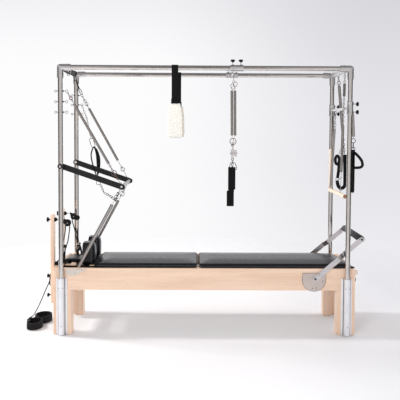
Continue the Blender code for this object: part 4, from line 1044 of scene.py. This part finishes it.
piece("inner_loop_rings", [
    link((1.1195, INNER_Y, 1.248), ALONG_Z, ALONG_Y, 0.034, 0.026, 0.003, 8, 8),
    rod((1.108, INNER_Y - 0.012, 1.236), (1.156, INNER_Y - 0.012, 1.264), 0.0032, 10),
    rod((1.123, INNER_Y, 1.443), (1.14, INNER_Y, 1.493), 0.003, 8),
    hook((1.135, INNER_Y, 1.46), (1.145, INNER_Y, 1.498), 0.008),
], BRIGHT, "crossbar")

OUTER_X, OUTER_Y = 1.1742, -0.374
spring("coil_outer", (1.17, OUTER_Y, 1.79), (1.174, OUTER_Y, 1.601), (0.02, 0.95), 0.013,
       "outer_spring", "outer_loop", WIRE_PALE, slim=0.55)
piece("outer_links", [
    wired([(1.18, -0.3565, CROSSBAR_Z - 0.038), (1.1755, OUTER_Y + 0.006, CROSSBAR_Z - 0.044),
           (1.17, OUTER_Y, 1.788)], 0.0018),
    ring((OUTER_X, OUTER_Y, 1.578), ALONG_Y, 0.017, 0.0028, 24),
    rod((OUTER_X, OUTER_Y, 1.602), (OUTER_X, OUTER_Y, 1.594), 0.0022, 8),
    link((OUTER_X, OUTER_Y, 1.54), ALONG_Z, ALONG_X, 0.05, 0.018, 0.0022),
    link((OUTER_X, OUTER_Y, 1.513), ALONG_Z, ALONG_Y, 0.03, 0.03, 0.0026),
], LINK, "outer_loop")
STRAP_LINE = ((OUTER_X, 1.508), (OUTER_X, 1.49), (OUTER_X, 1.4), (OUTER_X, 1.26), (1.1738, 1.18),
              (1.1728, 1.165))
TRIANGLE = [(1.185, 1.485), (1.2, 1.472), (1.226, 1.445), (1.244, 1.42), (1.25, 1.399), (1.251, 1.385),
            (1.244, 1.372), (1.23, 1.366), (1.21, 1.364), (1.185, 1.364), (1.176, 1.38), (1.176, 1.47)]
corners = [Vector((x, OUTER_Y + 0.001, z)) for x, z in TRIANGLE]
fuller = [p for one, two in zip(corners, corners[1:] + corners[:1]) for p in (one, between(one, two, 0.5))]
piece("outer_loop_strap", [
    sweep([(x, OUTER_Y, z) for x, z in STRAP_LINE],
          lambda share: flat(0.029 if share < 0.99 else 0.02, 0.009), across=ALONG_X),
    strap(fuller, 0.011, 0.0215, ALONG_Y, True),
], WEB_Z, "outer_loop", replaces=["hand_loop_outer"])

HANDLE_X, HANDLE_Y, HANDLE_LOW = 1.139, 0.3, 1.152
HANDLE_PROFILE = [(0.013, 0.0), (0.0165, 0.002), (0.0175, 0.006), (0.0172, 0.12), (0.0175, 0.24),
                  (0.0175, 0.334), (0.0165, 0.338), (0.013, 0.34)]
piece("handle", lathe(HANDLE_PROFILE, (HANDLE_X, HANDLE_Y, HANDLE_LOW), ALONG_Z, 28), HANDLE_WOOD, "crossbar",
      replaces=["hung_handle"])
cord_ends = (HANDLE_X, HANDLE_Y, 1.488), (1.1475, HANDLE_Y, CROSSBAR_Z - 0.0135)
piece("handle_cord", rod(*cord_ends, 0.0025, 8), BLACK, "crossbar")


# Knobs, sleeves and risers

def lobed_knob(centre, direction, radius, thick, lobes=7):
    """A clamping knob with fingers round its rim."""
    axis, side, other = frame_of(direction)
    count, dip = lobes * 6, 0.09
    rings = []
    for grown, along in ((0.45, 0.0), (0.86, 0.1), (1.0, 0.3), (1.0, 0.7), (0.88, 0.94), (0.5, 1.0)):
        rings.append([])
        for k in range(count):
            angle = 2 * math.pi * k / count
            reach = radius * grown * (1.0 - dip * (0.5 + 0.5 * math.cos(lobes * angle)))
            rings[-1].append(Vector(centre) + axis * thick * along
                             + side * reach * math.cos(angle) + other * reach * math.sin(angle))
    return stacked(rings)


def clamping(at, direction):
    """The threaded shaft on a sleeve, with its nut, and the knob on it."""
    nut = [(0.008, 0.0), (0.008, 0.004), (0.005, 0.006)]
    shaft = [rod(at + direction * (COLLAR_R - 0.002), at + direction * 0.05, 0.003, 10),
             lathe(nut, at + direction * (COLLAR_R - 0.0005), direction, 6)]
    knob = [lathe([(0.0045, 0.0), (0.0075, 0.003), (0.009, 0.007)], at + direction * 0.044, direction, 14),
            lobed_knob(at + direction * 0.05, direction, 0.0178, 0.018)]
    return shaft, knob


def sliding_bar(name, middle, axis, knob_side, body, node):
    """Two sleeves with a tube between them and their clamping knobs."""
    middle, axis, knob_side = Vector(middle), Vector(axis), Vector(knob_side)
    half, bore, clamp_gap = 0.052, TUBE_R + 0.0006, 0.032
    shell = [(bore, -half), (COLLAR_R - 0.001, -half), (COLLAR_R, -half + 0.0015), (COLLAR_R, -half + 0.012),
             (COLLAR_R - 0.0012, -half + 0.014)]
    shell += [(radius, -along) for radius, along in shell[::-1]]
    lip = [(CROSSBAR_R + 0.0002, 0.022), (0.0155, 0.021), (0.0165, 0.003), (0.018, -0.002)]
    lip_y = POST_Y - COLLAR_R - 0.0005
    sleeves, collars, shafts, knobs = [], [], [], []
    for sign in (-1, 1):
        centre = middle + Vector((0, sign * POST_Y, 0))
        sleeves.append(lathe(shell, centre, axis, 32, closed=True))
        collars.append(lathe(lip, middle + Vector((0, sign * lip_y, 0)), (0, -sign, 0)))
        for offset in (-clamp_gap, clamp_gap):
            shaft, knob = clamping(centre + axis * offset, knob_side)
            shafts += shaft
            knobs += knob
    reach = Vector((0, POST_Y - (bore + COLLAR_R) / 2, 0))
    piece(f"{name}_sleeves", sleeves, FITTING, body, replaces=[node])
    piece(f"{name}_tube", rod(middle - reach, middle + reach, CROSSBAR_R, 24), BRIGHT, body)
    piece(f"{name}_collars", collars, FITTING, body)
    piece(f"{name}_shafts", shafts, BRIGHT, body)
    piece(f"{name}_knobs", knobs, BLACK, body)


def riser(side, sign):
    """A wooden post with its knobs, its pulley's fork and the shaft between them."""
    back, front = RISER_X
    low_y, high_y = sorted((sign * RISER_Y[0], sign * RISER_Y[1]))
    middle = sign * PULLEY_Y
    pulley = PULLEY_X[side]
    upper = KNOB_Z[0]
    piece(f"riser_post_{side}", [
        block((back, low_y, RISER_Z[0]), (front, high_y, RISER_Z[1]), 0.004),
        block((front - 0.004, low_y + 0.004, 0.375), (-BED_HALF_LENGTH - 0.0004, high_y - 0.004, 0.532)),
    ], WOOD["Z"], "frame", replaces=[f"riser_{side}"])
    outward = (-1, 0, 0)
    neck = [(0.006, 0.0), (0.006, 0.01), (0.011, 0.017)]
    boss = [(0.011, 0.0), (0.0085, 0.006), (0.0055, 0.009)]
    knobs = [lobed_knob((back - 0.017, middle, upper), outward, 0.02, 0.0165),
             lathe(neck, (back - 0.0005, middle, upper), outward, 14),
             lobed_knob((front + 0.0005, middle, upper), ALONG_X, 0.018, 0.016),
             lathe(boss, (front + 0.016, middle, upper), ALONG_X, 14)]
    neck = [(0.006, 0.0), (0.006, 0.012), (0.01, 0.018)]
    for z in KNOB_Z[1:]:
        knobs += [lobed_knob((back - 0.018, middle, z), outward, 0.0172, 0.015),
                  lathe(neck, (back - 0.0005, middle, z), outward, 14)]
    arm = 0.039 if side == "near" else 0.03
    cheek_radius = 0.028
    cheek = arc((pulley, PULLEY_Z), cheek_radius, 200, 465, 24)
    cheek = (cheek + [(pulley - arm, upper + 0.006), (pulley - arm, upper - 0.008)])[::-1]
    for offset in (-0.0095, 0.0095):
        rings = []
        for inset, along in ((0.0012, -0.0016), (0, -0.0006), (0, 0.0006), (0.0012, 0.0016)):
            drawn = inset / cheek_radius
            rings.append([(x + (pulley - x) * drawn, middle + offset + along, z + (PULLEY_Z - z) * drawn)
                          for x, z in cheek])
        knobs.append(stacked(rings))
    knobs.append(block((pulley - arm - 0.004, middle - 0.0115, upper - 0.008),
                       (pulley - arm + 0.0045, middle + 0.0115, upper + 0.007)))
    hubs = []
    for face in (-1, 1):
        knobs.append(lathe([(0.0215, 0.0), (0.0215, 0.001), (0.02, 0.0018)],
                           (pulley, middle + face * 0.011, PULLEY_Z), (0, face, 0), 24))
        hubs.append(lathe([(0.0042, 0.0), (0.0042, 0.0008), (0.0032, 0.002), (0.0016, 0.0024)],
                          (pulley, middle + face * 0.0127, PULLEY_Z), (0, face, 0)))
    if side == "far":
        knobs.append(lathe([(0.02, 0.0), (0.022, 0.0015), (0.022, 0.009), (0.02, 0.0105)],
                           (pulley + 0.029, PULLEY_Y + 0.0085, PULLEY_Z - 0.013), ALONG_Y, 28))
    piece(f"riser_knobs_{side}", knobs, BLACK, "frame")
    shaft = rod((front + 0.022, middle, upper), (pulley - 0.038, middle, upper), 0.0042)
    piece(f"riser_shaft_{side}", shaft, BRIGHT, "frame")
    piece(f"pulley_hubs_{side}", hubs, BRIGHT, "frame")


sliding_bar("slider", (SLIDER_X, 0, TOP_Z), ALONG_X, ALONG_Z, "slider", "trapeze_slider")
sliding_bar("crossbar", (POST_X, 0, CROSSBAR_Z), ALONG_Z, ALONG_X, "crossbar", "end_crossbar")
for side, sign in SIDES:
    riser(side, sign)


# Small fasteners

def screw(place, direction, radius, height=0.0022):
    """A screw's domed head with its dimple."""
    return lathe([(radius, -0.001), (radius, height * 0.55), (radius * 0.72, height),
                  (radius * 0.3, height * 0.72)], place, direction, 14)


PLATE_FACE = BED_HALF_WIDTH + 0.0088
PIVOT_Z = PUSH_PIVOT[1]
EYE_NUT = [(0.007, 0.0), (0.007, 0.006), (0.0045, 0.009)]
dark, pale, eyes = [], [], []
for side, sign in SIDES:
    out = (0, sign, 0)
    y = sign * POST_Y
    for end, sign_x in ENDS:
        x = sign_x * POST_X
        dark += [screw((x + offset, sign * (BED_HALF_WIDTH + 0.0053), z), out, 0.0042)
                 for offset in (-0.034, 0.034) for z in (0.45, 0.04)]
        for degrees, z in ((-42, 0.387), (38, 0.387), (4, 0.078)):
            angle = math.radians(degrees)
            way = Vector((math.sin(angle), sign * math.cos(angle), 0))
            dark.append(screw(Vector((x, y, z)) + way * 0.0244, way, 0.0034, 0.0014))
        dark += [screw((x - sign_x * offset, y, TOP_Z + COLLAR_R - 0.0006), ALONG_Z, 0.0038, 0.002)
                 for offset in (0.047, 0.07)]
        dark.append(screw((x + sign_x * (COLLAR_R - 0.0008), y, TOP_Z - 0.06), (sign_x, 0, 0), 0.0038, 0.002))
    for z in EYE_Z:
        dark.append(lathe(EYE_NUT, (-POST_X + TUBE_R - 0.0006, y, z), ALONG_X, 12))
        eyes += [ring((-POST_X - 0.037, y, z), ALONG_Y, 0.008, 0.002, 18, 6),
                 rod((-POST_X - TUBE_R + 0.001, y, z), (-POST_X - 0.03, y, z), 0.0022, 8)]
    pale += [screw((-POST_X, sign * 0.383, PIVOT_Z), out, 0.0085, 0.003),
             screw((-POST_X, sign * 0.3062, PIVOT_Z), (0, -sign, 0), 0.0085, 0.003),
             screw((-1.046, sign * PLATE_FACE, 0.506), out, 0.006, 0.002)]
    dark.append(screw((-0.988, sign * PLATE_FACE, 0.53), out, 0.003, 0.0015))
piece("dark_screws", dark, DARK, "frame")
piece("pale_bolts", pale, BRIGHT, "frame")
piece("eye_rings", eyes, LINK, "frame")

piece("push_bar_bolts", [screw((PUSH_TUBE.x, sign * 0.3222, PUSH_TUBE.z), (0, sign, 0), 0.009, 0.003)
                         for sign in (-1, 1)], BRIGHT, "push_bar")
piece("push_bar_rings", [lathe([(0.0128, -0.004), (0.0138, -0.003), (0.0138, 0.003), (0.0128, 0.004)],
                               (PUSH_TUBE.x, -0.288 + 0.072 * k, PUSH_TUBE.z), ALONG_Y) for k in range(9)],
      SILVER, "push_bar")

turn = Matrix.Translation(FOOTBAR_PIVOT) @ Matrix.Rotation(-FOOTBAR_ANGLE, 4, "Y")
CAP = [(0.0165, -0.0008), (0.0175, 0.0008), (0.0165, 0.0024), (0.011, 0.0024)]
CAP_NUT = [(0.0105, 0.0), (0.0105, 0.002), (0.008, 0.003)]
dark, pale = [block((1.127, -0.3225, 0.646), (1.14, -0.3135, 0.678), 0.003)], []
for sign in (-1, 1):
    out = (0, sign, 0)
    cap = turn @ Vector((FOOTBAR_LENGTH, sign * 0.3178, 0))
    dark += [screw(turn @ Vector((0, sign * 0.3454, 0)), out, 0.0088, 0.003),
             lathe(CAP_NUT, cap + Vector((0, sign * 0.0022, 0)), out, 6)]
    pale += [lathe(CAP, cap, out, 24),
             ring(turn @ Vector((0.046, sign * 0.3402, 0)), ALONG_Y, 0.0088, 0.0016, 18, 6)]
piece("footbar_bolts", dark, DARK, "footbar")
piece("footbar_caps", pale, BRIGHT, "footbar")

rim = [(0.979, 0.507), (0.791, 0.507)] + arc((0.885, 0.453), 0.094, 180, 360, 24)
HOLE = [(0.0044, 0.0), (0.0044, 0.0012)]
# Dark discs on the rail where the plate's holes are: painted shade inside the holes.
holes, rims = [], []
for sign in (-1, 1):
    holes += [lathe(HOLE, (x, sign * (BED_HALF_WIDTH + 0.0002), z), (0, sign, 0), 16)
              for x, z in ((0.8725, 0.384), (0.904, 0.3865), (0.956, 0.442))]
    rims.append(wired([(x, sign * (BED_HALF_WIDTH + 0.0054), z) for x, z in rim], 0.0012, True, ALONG_Y))
piece("plate_holes", holes, DARK, "frame")
piece("plate_rims", rims, DARK, "frame")
piece("deck_blocks", [
    block((-1.139, -0.242, 0.5445), (-1.089, -0.222, 0.556)),
    block((-1.088, -0.25, 0.5445), (-1.048, -0.23, 0.569)),
    block((-0.939, -0.254, 0.5445), (-0.899, -0.234, 0.55)),
], WOOD["X"], "carriage")


# Upholstery: sections as insets across and along, and the share of the pad's height

PAD_SECTION = ((0.003, 0.003, 0.0), (0.0, 0.0, 0.05), (0.0, 0.0, 0.2), (0.002, 0.001, 0.245),
               (0.046, 0.003, 0.262), (0.052, 0.0035, 0.285), (0.053, 0.004, 0.46), (0.0545, 0.006, 0.54),
               (0.058, 0.01, 0.585), (0.066, 0.018, 0.625), (0.085, 0.032, 0.69), (0.115, 0.052, 0.79),
               (0.15, 0.075, 0.9), (0.18, 0.095, 0.965), (0.205, 0.115, 1.0), (0.25, 0.15, 1.0))
PAD_SEAMS = ((0.0538, 0.0052, 0.555, 0.0018), (-0.0004, -0.0004, 0.12, 0.0012))
HEAD_SECTION = [(inset, inset, height) for inset, height in (
    (0.0016, 0.0), (0.0, 0.12), (0.0, 0.48), (0.0014, 0.62), (0.005, 0.74), (0.012, 0.86), (0.024, 0.95),
    (0.04, 1.0), (0.056, 1.0))]
HEAD_SEAMS = ((0.0, 0.0, 0.46, 0.0014),)
REST_SECTION = ((0.02, 0.0), (0.01, 0.012), (0.004, 0.04), (0.001, 0.09), (0.0, 0.16), (0.0, 0.45),
                (0.001, 0.62), (0.004, 0.74), (0.009, 0.84), (0.016, 0.915), (0.024, 0.965), (0.034, 1.0))


def clamped(share):
    return min(1.0, max(0.0, share))


def as_it_is(x, y, z):
    return x, y, z


def mat_end(x, y, z):
    """The mat's foot end, cut back towards its far corner where it clears the post."""
    cut, sunk = 0.075, 0.004
    late = clamped((x - 0.95) / 0.27)
    across = clamped((y + 0.27) / 0.5)
    return x - cut * late * late * across ** 0.6, y, z - sunk * late * across


def pad(name, low, high, corner, section, seams, node, body, shaped=as_it_is):
    """A crowned pad with the faint swell of its foam and piping along its seams."""
    centre = [(a + b) / 2 for a, b in zip(low, high)]
    half = [(b - a) / 2 for a, b in zip(low, high)]
    swell = 0.0008

    def level(inset_y, inset_x, height):
        z = low[2] + (high[2] - low[2]) * height
        row = []
        for a, b in even_ring(rounded_rectangle(half[0] - inset_x, half[1] - inset_y, corner), 200):
            x, y = centre[0] + a, centre[1] + b
            row.append(shaped(x, y, z + noise.noise(Vector((x, y, z)) * 7.0) * swell))
        return row

    obj = piece(name, stacked([level(*row) for row in section]), VINYL, body, 60.0, [node])
    for number, (*place, radius) in enumerate(seams):
        piece(f"{name}_piping_{number}", wired(level(*place), radius, True, ALONG_Z), VINYL_DARK, body)


def shoulder_rest(side, sign):
    """A standing rest, piped along both faces."""
    low_z, high_z = CARRIAGE_TOP, 0.727
    half_y, half_z, back_x, thick = 0.07, (high_z - low_z) / 2, -1.005, 0.102

    def level(inset, share):
        outline = even_ring(rounded_rectangle(half_y - inset, half_z - inset, 0.032), 96)
        return [(back_x + thick * share, sign * 0.15 + a, low_z + half_z + b) for a, b in outline]

    obj = piece(f"rest_{side}", stacked([level(*row) for row in REST_SECTION]), VINYL, "carriage", 60.0,
                [f"shoulder_rest_{side}"])
    # The front piping is grey: painted highlight; the back piping keeps the dark seam vinyl.
    for name, share, finish in (("front", 0.74, VINYL_PAINTED_HIGHLIGHT), ("back", 0.06, VINYL_DARK)):
        piping = wired(level(0.003, share), 0.0018, True, ALONG_X)
        piece(f"rest_{side}_piping_{name}", piping, finish, "carriage")


pad("pad_carriage", (-0.89, -PAD_HALF_WIDTH, CARRIAGE_TOP), (-0.0572, PAD_HALF_WIDTH, PAD_TOP), 0.03,
    PAD_SECTION, PAD_SEAMS, "carriage_pad", "carriage")
pad("pad_mat", (-0.0448, -PAD_HALF_WIDTH, 0.5403), (1.224, PAD_HALF_WIDTH, PAD_TOP), 0.03, PAD_SECTION,
    PAD_SEAMS, "mat_pad", "mat", mat_end)
pad("pad_head", (-1.172, -0.105, 0.548), (-1.032, 0.105, 0.5745), 0.022, HEAD_SECTION, HEAD_SEAMS, "headrest",
    "head_support")
for side, sign in SIDES:
    shoulder_rest(side, sign)

grip_at = turn @ Vector((FOOTBAR_LENGTH, 0, 0))
grip_end = [(0.0145, -0.3), (0.0255, -0.2995), (0.0275, -0.2965)]
profile = grip_end + [(radius, -y) for radius, y in grip_end[::-1]]
grip = piece("footbar_cover", lathe(profile, grip_at, ALONG_Y, 36), GRIP, "footbar",
             replaces=["footbar_grip"])
seam = [grip_at + Vector((0.012, y, -0.0245)) for y in (-0.297, 0.297)]
piece("footbar_cover_seam", rod(*seam, 0.0014, 6), VINYL_DARK, "footbar")


# Padded loops: two with fleece on the top tubes, two standing on the floor

def fleece_loop(side, sign):
    """A strap over the top tube, its stitched band and the fleece that hangs from it."""
    y, x = sign * POST_Y, LOOP_X[side]
    body = f"loop_{side}"
    gap, fold, waist = 0.0045, 1.864, 2.095
    path = arc((y, TOP_Z), 0.023, -55, 235, 30)
    path += [(y - gap, waist), (y - gap, fold)] + arc((y, fold), gap, 180, 360, 6)[1:-1]
    path += [(y + gap, fold), (y + gap, waist)]
    piece(f"fleece_strap_{side}", flat_loop(path, x, 0.052, 0.004), WEB_Z, body, 50.0)
    piece(f"fleece_band_{side}", [
        block((x - 0.03, y - 0.0105, 1.863), (x + 0.03, y + 0.0105, 1.905), 0.003),
        *stitches(x - 0.028, x + 0.028, y - 0.0112, (1.868, 1.882, 1.896), (0.0016, 0.0014)),
    ], WEB_Z, body, 50.0)
    low, high = 1.62, 1.842
    middle = [(x, u, v) for u, v in even_ring(slot_loop(y, 0.017, low, high, 14), 150)]
    half_width, half_thick, curls, tufts = 0.057, 0.009, 0.0012, 0.0022
    verts, faces = sweep(middle, stuffed(half_width, half_thick, 44, 0.35, 0.6), True, ALONG_X)
    woolly = []
    for v in verts:
        taper = 1.0 - 0.22 * clamped((v.z - 1.7) / 0.15) ** 1.6 - 0.12 * clamped((1.65 - v.z) / 0.06) ** 2
        away = v - Vector((v.x, y, min(high, max(low, v.z))))
        away = away.normalized() if away.length > 1e-6 else Vector(ALONG_Y)
        moved = v + away * (noise.noise(v * 60.0) * tufts + noise.noise(v * 170.0) * curls)
        woolly.append((x + (moved.x - x) * taper, moved.y, moved.z))
    fleece = piece(f"fleece_{side}", (woolly, faces), FLEECE[side], body, 180.0, [f"fleece_loop_{side}"])


def floor_band(name, centre, half_x, half_y, replaces):
    """A padded hand loop on its edge, bound along both rims."""
    low, high = 0.0015, 0.059

    def oval(grown, z):
        return [(centre[0] + (half_x + grown) * a, centre[1] + (half_y + grown) * b, z)
                for a, b in circle(1.0, 72)]

    section = stuffed((high - low) / 2, 0.0068, 20, 0.4, 0.7)
    padding = sweep(oval(0.0, (low + high) / 2), section, True, ALONG_Z)
    obj = piece(name, padding, BAND, "frame", 60.0, replaces)
    piece(f"{name}_edging", [wired(oval(grown, z), 0.0011, True, ALONG_Z)
                             for z in (low + 0.0022, high - 0.0016) for grown in (-0.0058, 0.0058)],
          BAND_EDGE, "frame")


for side, sign in SIDES:
    fleece_loop(side, sign)
floor_band("floor_loop_near", (-1.416, -0.133), 0.057, 0.093, ["floor_loops"])
floor_band("floor_loop_far", (-1.386, 0.056), 0.065, 0.09, ())
piece("floor_loop_rings", [
    link((-1.4735, -0.133, 0.06), ALONG_Y, (0.4, 0, 1), 0.034, 0.02, 0.0026),
    link((-1.415, -0.145, 0.108), (0.8, 0, 0.7), ALONG_Y, 0.026, 0.016, 0.0022),
], BRIGHT, "frame")
link_strap = smooth_route([(-1.415, -0.138, 0.108), (-1.4, -0.09, 0.086), (-1.395, -0.05, 0.07),
                           (-1.39, -0.034, 0.06)], 0.012)
piece("floor_loop_strap", strap(link_strap, 0.018, 0.003), WEB_X, "frame")
